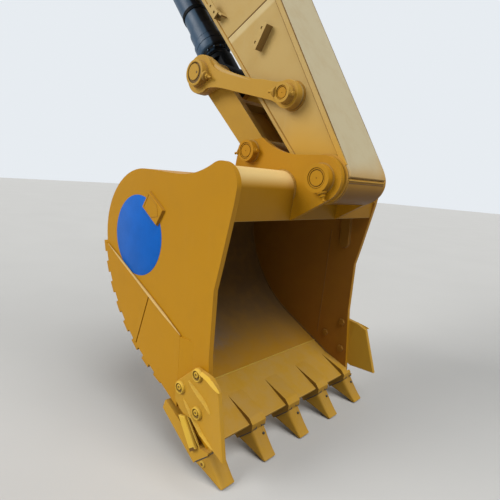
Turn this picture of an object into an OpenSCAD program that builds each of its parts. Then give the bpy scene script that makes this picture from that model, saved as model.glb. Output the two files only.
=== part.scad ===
// Excavator arm with its bucket, bucket linkage and bucket cylinder, in millimetres.
// The origin is the centre of the boom pivot bore. X points away from the machine, Y to the
// left and Z up. The arm hangs as it is parked: leaning in, with the bucket teeth down.

/* [Arm] */
// Distance from the boom pivot to the bucket pivot
arm_len = 3000; // [2800:10:3300]
// Lean of the arm away from the vertical, in degrees
arm_lean = 32.5; // [28:0.5:36]
// Width of the arm box over its side plates
arm_w = 320; // [300:2:340]
// Thickness of the arm side plates
arm_side_t = 16; // [12:1:20]
// Thickness of the arm front and rear plates
arm_cover_t = 16; // [12:1:20]
// How far the front and rear plates stand out past the side plates
arm_flange = 6; // [3:1:10]
// Radius of the arm at the bucket pivot
nose_r = 104; // [98:1:110]
// Radius of the arm at the boom pivot
foot_r = 190; // [170:2:205]
// How far the round nose bosses stand out past the side plates
nose_boss_t = 16; // [10:1:18]
// Front face of the side plates ahead of the bucket pivot
front_nose_x = 77; // [70:1:85]
// Front face of the side plates ahead of the boom pivot line at the deepest place
front_deep_x = 456; // [430:2:470]
// Height of that deepest place below the boom pivot
deep_drop = 400; // [350:5:450]
// Front corner of the arm box at its tail, ahead of the boom pivot
tail_front_x = 420; // [405:1:430]
// Height of that corner above the boom pivot
tail_front_z = 500; // [480:5:520]
// Rear corner of the arm box at its tail, ahead of the boom pivot
tail_rear_x = 225; // [210:1:240]
// Height of that corner above the boom pivot
tail_rear_z = 540; // [520:5:560]
// Arm cylinder pivot ahead of the boom pivot
tail_x = 345; // [335:1:355]
// Height of the arm cylinder pivot above the boom pivot
tail_z = 690; // [670:5:710]
// Outer radius of the tail lugs
tail_lug_r = 95; // [88:1:100]
// Gap between the tail lugs
tail_gap = 126; // [110:2:140]
// Thickness of each tail lug
tail_lug_t = 50; // [40:1:60]
// Radius of the arm cylinder pivot bore
tail_bore_r = 45; // [40:0.5:50]
// Outer radius of the boom pivot boss
foot_boss_r = 105; // [95:1:115]
// Radius of the boom pivot bore
foot_bore_r = 50; // [45:0.5:55]
// Overall width of the boom pivot boss
foot_boss_w = 350; // [345:1:360]
// Height above the bucket pivot, along the arm, where the lower side cheek ends at the front
cheek_front = 996; // [960:2:1030]
// Height above the bucket pivot, along the arm, where the lower side cheek ends at the rear
cheek_rear = 925; // [890:5:960]
// Bevelled gap between the lower cheek and the upper side plate
cheek_gap = 5; // [3:1:8]

/* [Linkage] */
// Height of the guide link pivot above the bucket pivot, along the arm
guide_up = 433; // [420:1:445]
// Guide link pivot ahead of the arm line through both pivots
guide_x = -8; // [-15:1:0]
// Length of the guide links between pivots
guide_len = 624; // [612:1:636]
// Length of the power link between pivots
link_len = 570; // [560:1:580]
// Ear pivot ahead of the bucket pivot
ear_x = 431; // [424:1:438]
// Height of the ear pivot above the bucket pivot
ear_z = 113; // [109:1:117]
// Radius of the bucket pin
bucket_pin_r = 45; // [42:0.5:47]
// Radius of the ear pin
ear_pin_r = 40; // [37:0.5:42]
// Radius of the rod pin
rod_pin_r = 45; // [42:0.5:47]
// Radius of the guide pin
guide_pin_r = 32; // [30:0.5:34]
// Running gap around each pin
pin_gap = 0.1; // [0.05:0.01:0.15]
// Thickness of each guide link
guide_t = 36; // [30:1:38]
// Half depth of a guide link at its waist
guide_waist = 42; // [38:1:46]
// Outer radius of a guide link at the guide pin
guide_foot_r = 64; // [60:1:68]
// Outer radius of a guide link at the rod pin
guide_head_r = 102; // [96:1:106]
// Radius of the hollow curves that lead into the guide link heads
guide_fillet_r = 150; // [130:5:170]
// Thickness of each power link arm
link_arm_t = 40; // [34:1:44]
// Outer radius of the power link at the rod pin
link_head_r = 82; // [78:1:88]
// Outer radius of the power link at the ear pin
link_foot_r = 68; // [64:1:70]
// Side gap between moving parts of the linkage
side_gap = 6; // [5.5:0.5:8]

/* [Bucket cylinder] */
// Cylinder base pivot ahead of the arm line through both pivots
cyl_x = 610; // [600:1:620]
// Cylinder base pivot below the boom pivot, along the arm
cyl_drop = 460; // [450:2:470]
// Outer radius of the barrel
barrel_r = 79; // [76:1:82]
// Wall of the barrel
barrel_wall = 12; // [10:0.5:14]
// Radius of the rod
rod_r = 46; // [42:0.5:48]
// Distance from the bolted face of the gland to the rod pin when closed
gland_gap = 220; // [216:2:230]
// Length of the gland up to that face
gland_len = 190; // [180:2:200]
// Outer radius of the gland
gland_r = 99; // [95:1:103]
// Distance from the base pivot to the inner end of the rod when closed
rod_rest = 256; // [240:2:280]
// Radius of the cylinder base eye
base_eye_r = 80; // [74:1:84]
// Radius of the rod eye
rod_eye_r = 92; // [88:1:94]
// Width of both cylinder eyes
eye_w = 118; // [110:1:122]
// Radius of the cylinder base pin
base_pin_r = 40; // [38:0.5:42]
// Thickness of each cylinder bracket lug
bracket_t = 40; // [34:1:46]

/* [Bucket] */
// Width of the bucket over its side plates
bucket_w = 1200; // [1150:10:1300]
// Thickness of the bucket side plates
bucket_side_t = 25; // [20:1:28]
// Thickness of the bucket shell
shell_t = 25; // [20:1:26]
// Slope of the bucket floor, in degrees
floor_slope = 27.9; // [27:0.1:29]
// Radius of the heel
heel_r = 345; // [335:1:355]
// Heel centre behind the bucket pivot
heel_x = 772; // [762:1:780]
// Heel centre below the bucket pivot
heel_drop = 354; // [348:1:360]
// Radius of the curve from the heel to the floor
sweep_r = 800; // [780:5:820]
// Floor line: place under the bucket pivot, and the drop of the floor there
floor_x = 505; // [500:1:510]
// Drop of the outside of the floor at that place
floor_drop = 1067; // [1060:1:1075]
// Drop of the roof at its lowest place
roof_drop = 22; // [18:1:26]
// Where the roof is lowest
roof_x = 520; // [510:1:530]
// Radius of the torque tube
tube_r = 83; // [80:1:86]
// Torque tube centre behind the bucket pivot
tube_x = 218; // [214:1:222]
// Torque tube centre below the bucket pivot
tube_drop = 57; // [54:1:60]
// Wall of the torque tube
tube_t = 20; // [16:1:22]
// Outer radius of the side plate lobes round the torque tube
lobe_r = 98; // [95:1:102]
// Where the torque tube plates meet the roof of the shell
tube_end_x = 430; // [425:1:436]
// Thickness of each bucket ear
ear_t = 26; // [22:1:30]
// Outer radius of an ear at the bucket pin
ear_head_r = 101; // [96:1:106]
// Radius of the collars round the bucket pin
bucket_collar_r = 63; // [60:1:66]
// Radius of the collars round the ear pin
ear_collar_r = 52; // [50:1:55]
// How far the ear collars stand out
collar_t = 40; // [34:1:44]
// How deep a pin end sits in its collar
pin_recess = 6; // [4:0.5:8]

/* [Cutting edge] */
// Thickness of the lip plate
lip_t = 50; // [44:1:56]
// Depth of the lip plate from front to back
lip_deep = 296; // [290:1:305]
// Distance from the floor reference place to the lip edge, along the floor
lip_run = 345; // [340:1:350]
// Distance from the outside of the bucket to the middle of a corner tooth
tooth_inset = 30; // [25:1:36]
// Width of a tooth and its adapter
tooth_w = 100; // [90:1:106]
// Width of a tooth at its tip
tooth_tip_w = 80; // [74:1:88]
// How far a tooth reaches past the lip edge
tooth_reach = 163; // [155:1:172]
// Length of the upper leg of an adapter
adapter_top_leg = 185; // [175:1:195]
// Length of the lower leg of an adapter
adapter_leg = 311; // [305:1:318]
// Thickness of the side cutters
cutter_t = 25; // [20:1:28]
// How far the side cutters flare out past their bend
cutter_flare = 36; // [30:1:40]
// Thickness of the side wear plates
wear_t = 10; // [8:0.5:12]
// Height of the heel wear blocks
block_h = 38; // [34:1:42]
// Length of a heel wear block across the bucket
block_w = 120; // [100:5:140]

/* [Hidden] */
$fn = 96;

yellow = "goldenrod";
tan_yellow = "darkgoldenrod";
black = "dimgray";
steel = "silver";

// Turns a point of the arm's own frame, where the arm hangs straight down, into the lean.
function lean(p) = [
    p[0] * cos(arm_lean) + p[1] * sin(arm_lean),
    -p[0] * sin(arm_lean) + p[1] * cos(arm_lean)
];
function unit(v) = v / norm(v);
function heading(a, b) = atan2(b[1] - a[1], b[0] - a[0]);
function polar(r, a) = [r * cos(a), r * sin(a)];
// The point ra from a and rb from b, on the left of the line from a to b.
function meet(a, ra, b, rb) =
    let (d = norm(b - a), x = (ra * ra - rb * rb + d * d) / (2 * d), h = sqrt(ra * ra - x * x))
    a + x * unit(b - a) + h * [-unit(b - a)[1], unit(b - a)[0]];
// Lines run this far inside the circles that they touch, so that the two cross cleanly.
seam = 0.1;
function seamed(r) = max(r - seam, 0);
// The ends of the straight line that touches two circles, on the left (1) or right (-1).
function tangent(a, ra, b, rb, side) =
    let (turn = heading(a, b) + side * acos((seamed(ra) - seamed(rb)) / norm(b - a)))
    [a + polar(seamed(ra), turn), b + polar(seamed(rb), turn)];

// Pivots in the arm's own frame
boom_p = [0, 0];
bucket_p = [0, -arm_len];
guide_p = [guide_x, -arm_len + guide_up];
base_p = [cyl_x, -cyl_drop];
tail_p = [tail_x, tail_z];
// Pivots as the arm hangs
bucket_at = lean(bucket_p);
guide_at = lean(guide_p);
base_at = lean(base_p);
ear_at = bucket_at + [ear_x, ear_z];
rod_at = meet(guide_at, guide_len, ear_at, link_len);
cyl_len = norm(rod_at - base_at);
gland_end = cyl_len - gland_gap;
rod_len = cyl_len - rod_rest;

// Widths, measured from the middle plane
arm_out = arm_w / 2;
arm_in = arm_out - arm_side_t;
nose_out = arm_out + nose_boss_t;
ear_in = nose_out + side_gap - 1;
ear_out = ear_in + ear_t;
collar_out = ear_out + collar_t;
guide_in = arm_out + 20;
guide_out = guide_in + guide_t;
rod_collar_out = guide_out + 44;
guide_collar_out = guide_out + 38;
link_out = guide_in - side_gap;
link_in = eye_w / 2 + side_gap + 2;
link_arm_out = 150;
link_foot_out = ear_in - side_gap;
bucket_out = bucket_w / 2;
bucket_in = bucket_out - bucket_side_t;

// Draws a profile of the X-Z plane and gives it a width from y0 to y1.
module slab(y0, y1) translate([0, y1, 0]) rotate([90, 0, 0]) linear_extrude(y1 - y0) children();
module both() { children(); mirror([0, 1, 0]) children(); }
module right() mirror([0, 1, 0]) children();
module round_at(p, r) translate(p) circle(r);
// Two round ends joined by the straight lines that touch both.
module strap(a, ra, b, rb) {
    left_line = tangent(a, ra, b, rb, 1);
    right_line = tangent(a, ra, b, rb, -1);
    round_at(a, ra);
    round_at(b, rb);
    polygon([left_line[0], left_line[1], right_line[1], right_line[0]]);
}
module at_arm() rotate([0, arm_lean, 0]) children();
module at_bucket() translate([bucket_at[0], 0, bucket_at[1]]) children();
// Puts a part that lies along X onto the line from one pivot to another.
module along(a, b) translate([a[0], 0, a[1]]) rotate([0, -heading(a, b), 0]) children();

// Arm

front_low = [front_nose_x, -arm_len];
front_deep = [front_deep_x, -deep_drop];
tail_front = [tail_front_x, tail_front_z];
tail_rear = [tail_rear_x, tail_rear_z];
rear_line = tangent(bucket_p, nose_r, boom_p, foot_r, 1);
crown_line = tangent(boom_p, foot_r, tail_rear, 0, 1);
front_dir = unit(front_deep - front_low);
upper_dir = unit(tail_front - front_deep);
front_normal = [front_dir[1], -front_dir[0]];
upper_normal = [upper_dir[1], -upper_dir[0]];
face_bend = front_deep + arm_cover_t * (front_normal + upper_normal) / (1 + front_normal * upper_normal);
rear_normal = unit(rear_line[0] - bucket_p);
crown_normal = unit(crown_line[0] - boom_p);

module arm_outline() {
    round_at(bucket_p, nose_r);
    round_at(boom_p, foot_r);
    polygon([rear_line[0], bucket_p, front_low, front_deep, tail_front, tail_rear, crown_line[0],
        boom_p, rear_line[1]]);
}
module pivot_holes() {
    round_at(bucket_p, nose_tube_r);
    round_at(boom_p, foot_boss_r);
    round_at(guide_p, guide_boss_r);
}
nose_tube_r = 80;
guide_boss_r = 62;
// The slanting joint between the thick lower cheek and the upper side plate
module below_joint(shift) polygon([
    [-200, -arm_len + cheek_rear + shift], [600, -arm_len + cheek_front + shift],
    [600, -arm_len - 400], [-200, -arm_len - 400]
]);
module arm_side() color(tan_yellow) at_arm() slab(arm_in, arm_out) difference() {
    arm_outline();
    pivot_holes();
    below_joint(cheek_gap);
}
module arm_cheek() color(tan_yellow) at_arm() slab(arm_in, arm_out) difference() {
    intersection() {
        arm_outline();
        below_joint(0);
    }
    pivot_holes();
}
module arm_side_left() arm_side();
module arm_side_right() right() arm_side();
module arm_cheek_left() arm_cheek();
module arm_cheek_right() right() arm_cheek();

cover_out = arm_out + arm_flange;
// How far above the bucket pivot the front plate starts
front_start = 95;
module arm_front_plate() color(tan_yellow) at_arm() slab(-cover_out, cover_out) {
    start = front_low + front_start * front_dir;
    polygon([
        start, start + front_normal * arm_cover_t, face_bend, tail_front + upper_normal * arm_cover_t,
        tail_front, front_deep
    ]);
}
module arm_rear_plate() color(tan_yellow) at_arm() slab(-cover_out, cover_out) {
    outer_rear = tangent(bucket_p, nose_r + arm_cover_t, boom_p, foot_r + arm_cover_t, 1);
    outer_crown = tangent(boom_p, foot_r + arm_cover_t, tail_rear, arm_cover_t, 1);
    difference() {
        union() {
            round_at(bucket_p, nose_r + arm_cover_t);
            round_at(boom_p, foot_r + arm_cover_t);
            polygon([outer_rear[0], bucket_p, tail_rear, outer_crown[1], outer_crown[0], outer_rear[1]]);
        }
        arm_outline();
        translate(bucket_p) polygon([
            [-400, skin_top + skin_gap], [-400, -400], [400, -400], [400, 400], [-1, 400],
            [-1, skin_top + skin_gap]
        ]);
    }
}
tail_plate_t = 20;
module arm_tail_plate() color(tan_yellow) at_arm() slab(-cover_out, cover_out) polygon([
    tail_rear + crown_normal * arm_cover_t, tail_front + upper_normal * arm_cover_t,
    tail_front + upper_normal * arm_cover_t + [0, tail_plate_t],
    tail_rear + crown_normal * arm_cover_t + [0, tail_plate_t]
]);
// The rear plate wraps round the nose as far as a seam, and a thinner skin goes on to the front.
skin_top = -54;
skin_gap = 4;
skin_end = -35;
skin_t = 8;
nose_boss_r = nose_r + 6;
module nose_skin(inner, outer) difference() {
    round_at(bucket_p, outer);
    round_at(bucket_p, inner);
    translate(bucket_p)
        polygon([[-400, skin_top], [0, skin_top], [0, 0], polar(400, skin_end), [400, 400], [-400, 400]]);
}
module bore(p, r, half) translate([p[0], 0, p[1]]) rotate([90, 0, 0])
    cylinder(r = r, h = 2 * half, center = true);
module arm_nose() color(tan_yellow) at_arm() difference() {
    union() {
        slab(-arm_in, arm_in) difference() {
            round_at(bucket_p, nose_r);
            polygon([front_low, front_low + [400, 0], front_deep + [400, 0], front_deep]);
            translate(bucket_p) translate([-200, 60]) square([400, 100]);
        }
        slab(-cover_out, cover_out) nose_skin(nose_r, nose_r + skin_t);
        slab(-arm_in + 1, arm_in - 1) nose_skin(nose_r - 4, nose_r + 4);
        bore(bucket_p, nose_tube_r, arm_out);
        both() slab(arm_out, nose_out) round_at(bucket_p, nose_r - 2);
        both() slab(cover_out + seam, nose_out) intersection() {
            round_at(bucket_p, nose_boss_r);
            translate(bucket_p) translate([-nose_boss_r - 1, -nose_boss_r - 1])
                square([nose_boss_r + 1 + front_nose_x, 2 * nose_boss_r + 2]);
        }
    }
    bore(bucket_p, bucket_pin_r + pin_gap, nose_out + 1);
}
module boss_tube(p, r, half, bore_r) difference() {
    bore(p, r, half);
    bore(p, bore_r, half + 1);
}
module arm_foot_boss() color(tan_yellow) at_arm()
    boss_tube(boom_p, foot_boss_r, foot_boss_w / 2, foot_bore_r);
module arm_guide_boss() color(tan_yellow) at_arm()
    boss_tube(guide_p, guide_boss_r, guide_in - 2, guide_pin_r + pin_gap);
lug_inset = 10;
module arm_tail_lugs() color(tan_yellow) at_arm() both() difference() {
    slab(tail_gap / 2, tail_gap / 2 + tail_lug_t) {
        rear_top = tail_rear + crown_normal * arm_cover_t + [0, tail_plate_t];
        front_top = tail_front + upper_normal * arm_cover_t + [0, tail_plate_t];
        foot_rear = rear_top + lug_inset * unit(front_top - rear_top);
        foot_front = front_top - lug_inset * unit(front_top - rear_top);
        rear_side = tangent(foot_rear, 0, tail_p, tail_lug_r, 1);
        front_side = tangent(foot_front, 0, tail_p, tail_lug_r, -1);
        round_at(tail_p, tail_lug_r);
        polygon([foot_front, front_side[1], tail_p, rear_side[1], foot_rear]);
    }
    bore(tail_p, tail_bore_r, 200);
}

bracket_in = eye_w / 2 + side_gap;
// How far the bracket lugs reach along the arm above and below the bend of its front plate
bracket_above = 200;
bracket_below = 165;
bracket_out = bracket_in + bracket_t;
module cylinder_bracket() color(tan_yellow) at_arm() both() difference() {
    slab(bracket_in, bracket_out) {
        top = face_bend + bracket_above * upper_dir;
        low = face_bend - bracket_below * front_dir;
        low_side = tangent(low, 0, base_p, base_eye_r, -1);
        top_side = tangent(top, 0, base_p, base_eye_r, 1);
        round_at(base_p, base_eye_r);
        polygon([low, low_side[1], base_p, top_side[1], top, face_bend]);
    }
    bore(base_p, base_pin_r + pin_gap, 300);
}
module cylinder_base_pin() color(steel) at_arm() {
    bore(base_p, base_pin_r, bracket_out + 12);
    both() slab(bracket_out, bracket_out + 12) round_at(base_p, base_pin_r + 14);
}

// Angle clips for service lines. Each row holds one clip: the height of its holes above the
// bucket pivot, their front offset, the turn of the clip, its length and its hole spacing.
CLIP_UP = 0;
CLIP_FRONT = 1;
CLIP_TURN = 2;
CLIP_LEN = 3;
CLIP_PITCH = 4;
clip_table = [
    [1136, 209, 82, 96, 46],
    [791, 15, -26, 124, 69]
];
clip_t = 8;
clip_out = 45;
clip_leg = 40;
clip_seat = 20;
clip_hole_r = 7;
module line_clips() color(tan_yellow) at_arm() both() for (row = clip_table)
    translate([row[CLIP_FRONT], 0, -arm_len + row[CLIP_UP]]) rotate([0, -row[CLIP_TURN], 0])
        translate([-row[CLIP_LEN] / 2, arm_out, -clip_seat]) difference() {
            union() {
                cube([row[CLIP_LEN], clip_out, clip_t]);
                translate([0, clip_out - clip_t, 0]) cube([row[CLIP_LEN], clip_t, clip_leg]);
            }
            for (s = [-1, 1]) translate([(row[CLIP_LEN] + s * row[CLIP_PITCH]) / 2, clip_out, clip_seat])
                rotate([90, 0, 0]) cylinder(r = clip_hole_r, h = 2 * clip_t + 2, center = true);
        }

// Linkage

// A round head with a hollow curve that leads into it from the waist, on each of the given sides.
module blended_head(head_x, head_r, waist, fillet, dir, sides) {
    lap = waist / 2;
    run = sqrt(pow(fillet + head_r - seam, 2) - pow(waist + fillet, 2));
    start = head_x - dir * run;
    top = (waist + fillet) * head_r / (fillet + head_r);
    for (s = sides) difference() {
        translate([min(start, head_x), s > 0 ? -lap : -top]) square([run, top + lap]);
        round_at([start, s * (waist + fillet)], fillet);
    }
    round_at([head_x, 0], head_r);
}
// Where the straight upper taper of a guide link starts
taper_start = 220;
module guide_outline() {
    upper = tangent([taper_start, guide_waist - seam], 0, [guide_len, 0], guide_head_r, 1);
    blended_head(guide_len, guide_head_r, guide_waist, guide_fillet_r, 1, [-1]);
    blended_head(0, guide_foot_r, guide_waist, guide_fillet_r, -1, [-1, 1]);
    translate([0, -guide_waist]) square([guide_len, 2 * guide_waist]);
    polygon([[taper_start, 0], [guide_len, 0], upper[1], upper[0]]);
}
head_pad_t = 16;
rod_collar_r = 56;
guide_collar_r = 44;
module guide_link() color(yellow) along(guide_at, rod_at) difference() {
    union() {
        slab(guide_in, guide_out) guide_outline();
        slab(guide_out, guide_out + head_pad_t) round_at([guide_len, 0], guide_head_r - 2);
        slab(guide_out, rod_collar_out) round_at([guide_len, 0], rod_collar_r);
        slab(guide_out, guide_collar_out) round_at([0, 0], guide_collar_r);
    }
    bore([0, 0], guide_pin_r + pin_gap, 400);
    bore([guide_len, 0], rod_pin_r + pin_gap, 400);
}
module guide_link_left() guide_link();
module guide_link_right() right() guide_link();
module guide_pin() color(steel) bore(guide_at, guide_pin_r, guide_collar_out - pin_recess);
module rod_pin() color(steel) slab(link_in - 2, rod_collar_out - pin_recess) round_at(rod_at, rod_pin_r);
module rod_pin_left() rod_pin();
module rod_pin_right() right() rod_pin();

web_start = 225;
web_t = 30;
module power_link() color(yellow) along(rod_at, ear_at) difference() {
    union() {
        both() {
            slab(link_arm_out - link_arm_t, link_arm_out)
                strap([0, 0], link_head_r - 6, [link_len, 0], link_foot_r - 4);
            slab(link_in, link_out) round_at([0, 0], link_head_r);
        }
        bore([link_len, 0], link_foot_r, link_foot_out);
        slab(-link_arm_out + 1, link_arm_out - 1) {
            translate([web_start, -web_t / 2]) square([link_len - web_start, web_t]);
            translate([web_start, -60]) square([web_t, 120]);
        }
    }
    bore([0, 0], rod_pin_r + pin_gap, 400);
    bore([link_len, 0], ear_pin_r + pin_gap, 400);
}
module link_pin_core() color(steel) bore(ear_at, ear_pin_r, link_foot_out);

// Bucket cylinder, drawn along X from its base pivot

module revolve_x(points) rotate([0, 90, 0]) rotate_extrude() polygon(points);
// Where the full width of the barrel starts, past its base eye and the bracket lugs
barrel_start = 125;
module cylinder_barrel() color(black) along(base_at, rod_at) {
    difference() {
        union() {
            bore([0, 0], base_eye_r, eye_w / 2);
            rotate([0, 90, 0]) cylinder(r = barrel_r, h = gland_end - gland_len);
        }
        bore([0, 0], base_pin_r + pin_gap, 200);
        translate([barrel_start + 15, 0, 0]) rotate([0, 90, 0])
            cylinder(r = barrel_r - barrel_wall, h = gland_end);
        both() translate([-2 * base_eye_r, eye_w / 2, -2 * base_eye_r])
            cube([2 * base_eye_r + barrel_start, barrel_r, 4 * base_eye_r]);
    }
}
// The gland is a slimmer collar, a groove and a thicker head with a bolted face and a wiper ring.
rod_fit = 0.3;
collar_len = 88;
collar_step = 9;
groove_w = 6;
groove_d = 4;
face_bevel = 10;
wiper_r = 72;
wiper_len = 16;
module cylinder_gland() color(black) along(base_at, rod_at)
    translate([gland_end - gland_len, 0, 0]) revolve_x([
        [rod_r + rod_fit, 0], [gland_r - collar_step, 0], [gland_r - collar_step, collar_len],
        [gland_r - collar_step - groove_d, collar_len],
        [gland_r - collar_step - groove_d, collar_len + groove_w], [gland_r, collar_len + groove_w],
        [gland_r, gland_len - face_bevel], [gland_r - face_bevel, gland_len], [wiper_r, gland_len],
        [wiper_r, gland_len + wiper_len], [rod_r + rod_fit, gland_len + wiper_len]
    ]);
// The thick neck of the rod runs between these distances from the rod pin. Nearer to the pin
// than flat_start it is as wide as the eye only.
neck_start = 165;
neck_end = 24;
neck_r = 88;
flat_start = 135;
module cylinder_rod() color(steel) along(base_at, rod_at) difference() {
    union() {
        translate([cyl_len - rod_len, 0, 0]) rotate([0, 90, 0])
            cylinder(r = rod_r, h = rod_len - neck_end - 15);
        translate([cyl_len - neck_start, 0, 0]) rotate([0, 90, 0])
            cylinder(r = neck_r, h = neck_start - neck_end);
        bore([cyl_len, 0], rod_eye_r, eye_w / 2);
    }
    both() translate([cyl_len - flat_start, eye_w / 2, -2 * rod_eye_r])
        cube([flat_start, neck_r, 4 * rod_eye_r]);
    bore([cyl_len, 0], rod_pin_r + pin_gap, 200);
}
module rod_pin_core() color(steel) bore(rod_at, rod_pin_r, eye_w / 2);

// Bucket, drawn from its pivot

heel_c = [heel_x, -heel_drop];
floor_dir = [cos(floor_slope), sin(floor_slope)];
floor_up = [-sin(floor_slope), cos(floor_slope)];
floor_ref = [floor_x, -floor_drop];
// The sweep's centre lies sweep_r inside the floor line and sweep_r - heel_r from the heel's.
sweep_base = floor_ref + (sweep_r - seam) * floor_up - heel_c;
sweep_along = -(sweep_base * floor_dir)
    - sqrt(pow(sweep_base * floor_dir, 2) - sweep_base * sweep_base + pow(sweep_r - heel_r - seam, 2));
sweep_c = floor_ref + (sweep_r - seam) * floor_up + sweep_along * floor_dir;
roof_low = [roof_x, -roof_drop];
roof_line = tangent(roof_low, 0, heel_c, heel_r, 1);
roof_normal = unit(roof_line[1] - heel_c);
roof_dir = [roof_normal[1], -roof_normal[0]];
lip_edge = floor_ref - lip_run * floor_dir;
sweep_out = unit(heel_c - sweep_c);

// Side view of the bucket, drawn inwards by inset from the outside of its shell
module bucket_outline(inset = 0) {
    roof_end = roof_line[1] - roof_normal * inset;
    roof_start = roof_low - roof_normal * inset;
    floor_end = sweep_c - floor_up * (sweep_r - seam - inset);
    floor_start = lip_edge + body_start * floor_dir + floor_up * inset;
    round_at(heel_c, heel_r - inset);
    intersection() {
        round_at(sweep_c, sweep_r - inset);
        polygon([floor_start + 100 * floor_up, lip_edge - sweep_r * floor_up,
            sweep_c + [2 * sweep_r, -2 * sweep_r], heel_c + 2 * sweep_r * sweep_out, heel_c]);
    }
    polygon([[tube_x + 120, roof_start[1]], [tube_x + 60, -tube_drop - 100], floor_start, floor_end,
        heel_c, roof_end, roof_start]);
}
// How far behind the lip edge, along the floor, that view starts
body_start = 150;
tube_c = [tube_x, -tube_drop];
// The front edge of a side plate: points down from the torque tube lobe
mouth_edge = [[131, -130], [162, -262], [193, -398], [218, -500], [224, -800]];
// The hollow of a side plate touches the roof line and the lobe.
dip_r = 456;
dip_base = roof_low + (dip_r - seam) * roof_normal - tube_c;
dip_along = -(dip_base * roof_dir)
    + sqrt(pow(dip_base * roof_dir, 2) - dip_base * dip_base + pow(dip_r + lobe_r - seam, 2));
dip_c = tube_c + dip_base + dip_along * roof_dir;
module side_outline() difference() {
    union() {
        bucket_outline();
        round_at(tube_c, lobe_r);
        polygon(concat([tangent(tube_c, lobe_r, mouth_edge[0], 0, -1)[0]], mouth_edge,
            [lip_edge + 12 * floor_up, lip_edge, floor_ref, heel_c, roof_low + dip_along * roof_dir, dip_c,
            tube_c]));
    }
    round_at(dip_c, dip_r);
}
module bucket_side() color(yellow) at_bucket() slab(bucket_in, bucket_out) side_outline();
module bucket_side_left() bucket_side();
module bucket_side_right() right() bucket_side();
module bucket_shell() color(yellow) at_bucket() slab(-bucket_in, bucket_in) difference() {
    bucket_outline();
    bucket_outline(shell_t);
    polygon([[-200, 400], [tube_end_x, 400], [tube_end_x, -500],
        lip_seam + 300 * floor_up, lip_seam - 300 * floor_up,
        [-200, -1600]]);
}
lip_seam = lip_edge + (lip_deep + seam) * floor_dir;
tube_corner = [tube_x - 68, -tube_drop - 144];
tube_seat = [tube_end_x, -roof_drop - 1];
// Moves corner q of the path p, q, r to the right of the path by t
function inward(p, q, r, t) =
    let (a = unit(q - p), b = unit(r - q), n = [a[1], -a[0]], m = [b[1], -b[0]])
    q + t * (n + m) / (1 + n * m);
// Where the line through p along d meets the line through q along e
function crossing(p, d, q, e) = p + d * cross(q - p, e) / cross(d, e);
tube_under = tube_seat - [0, shell_t];
tube_front = tangent(tube_c, tube_r, tube_corner, 0, -1);
tube_top = tangent(tube_c, tube_r, tube_seat, 0, 1);
module tube_section() {
    corner_in = inward(tube_under, tube_corner, tube_front[0], tube_t);
    down = tube_t * unit(tube_c - tube_top[0]);
    tip_in = crossing(tube_top[0] + down, tube_seat - tube_top[0], corner_in, tube_under - tube_corner);
    front_in = tangent(tube_c, tube_r - tube_t, corner_in, 0, -1);
    difference() {
        union() {
            round_at(tube_c, tube_r);
            polygon([tube_c, tube_front[0], tube_corner, tube_under, tube_seat, tube_top[0]]);
        }
        round_at(tube_c, tube_r - tube_t);
        polygon([tube_c, front_in[0], corner_in, tip_in, tube_top[0] + down]);
    }
}
module torque_tube() color(yellow) at_bucket() {
    both() slab(ear_out, bucket_in) tube_section();
    slab(-ear_in, ear_in) tube_section();
}
// Top edge of an ear: level as far as ear_flat, then a hollow curve up to its crest
ear_flat = 130;
ear_crest = [ear_x - 73, ear_z + 66];
ear_shoulder = [ear_x + 53, ear_z + 51];
ear_corner = [ear_x + 96, ear_z - 27];
ear_heel = 26;
module ear_outline() {
    rise = ear_crest[1] + seam - ear_head_r;
    hollow_r = (pow(ear_crest[0] - ear_flat, 2) + rise * rise) / (2 * rise);
    low = tangent([0, 0], ear_head_r, tube_corner, 0, -1);
    round_at([0, 0], ear_head_r);
    difference() {
        polygon([[0, 0], low[0], low[1], tube_under, [tube_end_x, -roof_drop], roof_low,
            roof_low + ear_heel * roof_dir, ear_corner, ear_shoulder, ear_crest, [ear_flat, ear_crest[1]],
            [ear_flat, ear_head_r], [0, ear_head_r]]);
        round_at([ear_flat, ear_head_r + hollow_r], hollow_r);
    }
}
module bucket_ear() color(yellow) at_bucket() difference() {
    union() {
        slab(ear_in, ear_out) ear_outline();
        slab(ear_out, collar_out) round_at([0, 0], bucket_collar_r);
        slab(ear_out, collar_out) round_at([ear_x, ear_z], ear_collar_r);
    }
    bore([0, 0], bucket_pin_r + pin_gap, 400);
    bore([ear_x, ear_z], ear_pin_r + pin_gap, 400);
}
module bucket_ear_left() bucket_ear();
module bucket_ear_right() right() bucket_ear();
module bucket_pin() color(steel) bore(bucket_at, bucket_pin_r, collar_out - pin_recess);
module ear_pin_ends() color(steel) both() slab(ear_in, collar_out - pin_recess) round_at(ear_at, ear_pin_r);

// Cutting edge. The lip frame runs forward along X and down along Z from the inner lip edge.
lip_in = lip_edge + shell_t * floor_up;
module at_lip() at_bucket() translate([lip_in[0], 0, lip_in[1]])
    rotate([0, 180 - floor_slope, 0]) children();
lip_nib = 18;
lip_bevel = 45;
module lip_plate() color(yellow) at_lip() slab(-bucket_in, bucket_in) polygon([
    [0, 0], [0, lip_nib], [-lip_bevel, lip_t], [-lip_deep + lip_t - shell_t, lip_t],
    [-lip_deep, shell_t], [-lip_deep, 0]
]);
adapter_heel = 55;
joint_top = [27, 16];
joint_low = [-16, 134];
joint_gap = 0.3 * unit([joint_low[1] - joint_top[1], joint_top[0] - joint_low[0]]);
tooth_places = [-2, -1, 0, 1, 2];
tooth_pitch = (bucket_out - tooth_inset) / 2;
module adapter_outline() polygon([
    [-adapter_top_leg, 0], [-20, -24], [14, -12], joint_top, joint_low, [-adapter_leg, lip_t + adapter_heel],
    [-adapter_leg - 6, lip_t + 6], [-adapter_leg, lip_t], [-lip_bevel, lip_t], [0, lip_nib], [0, 0]
]);
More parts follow.
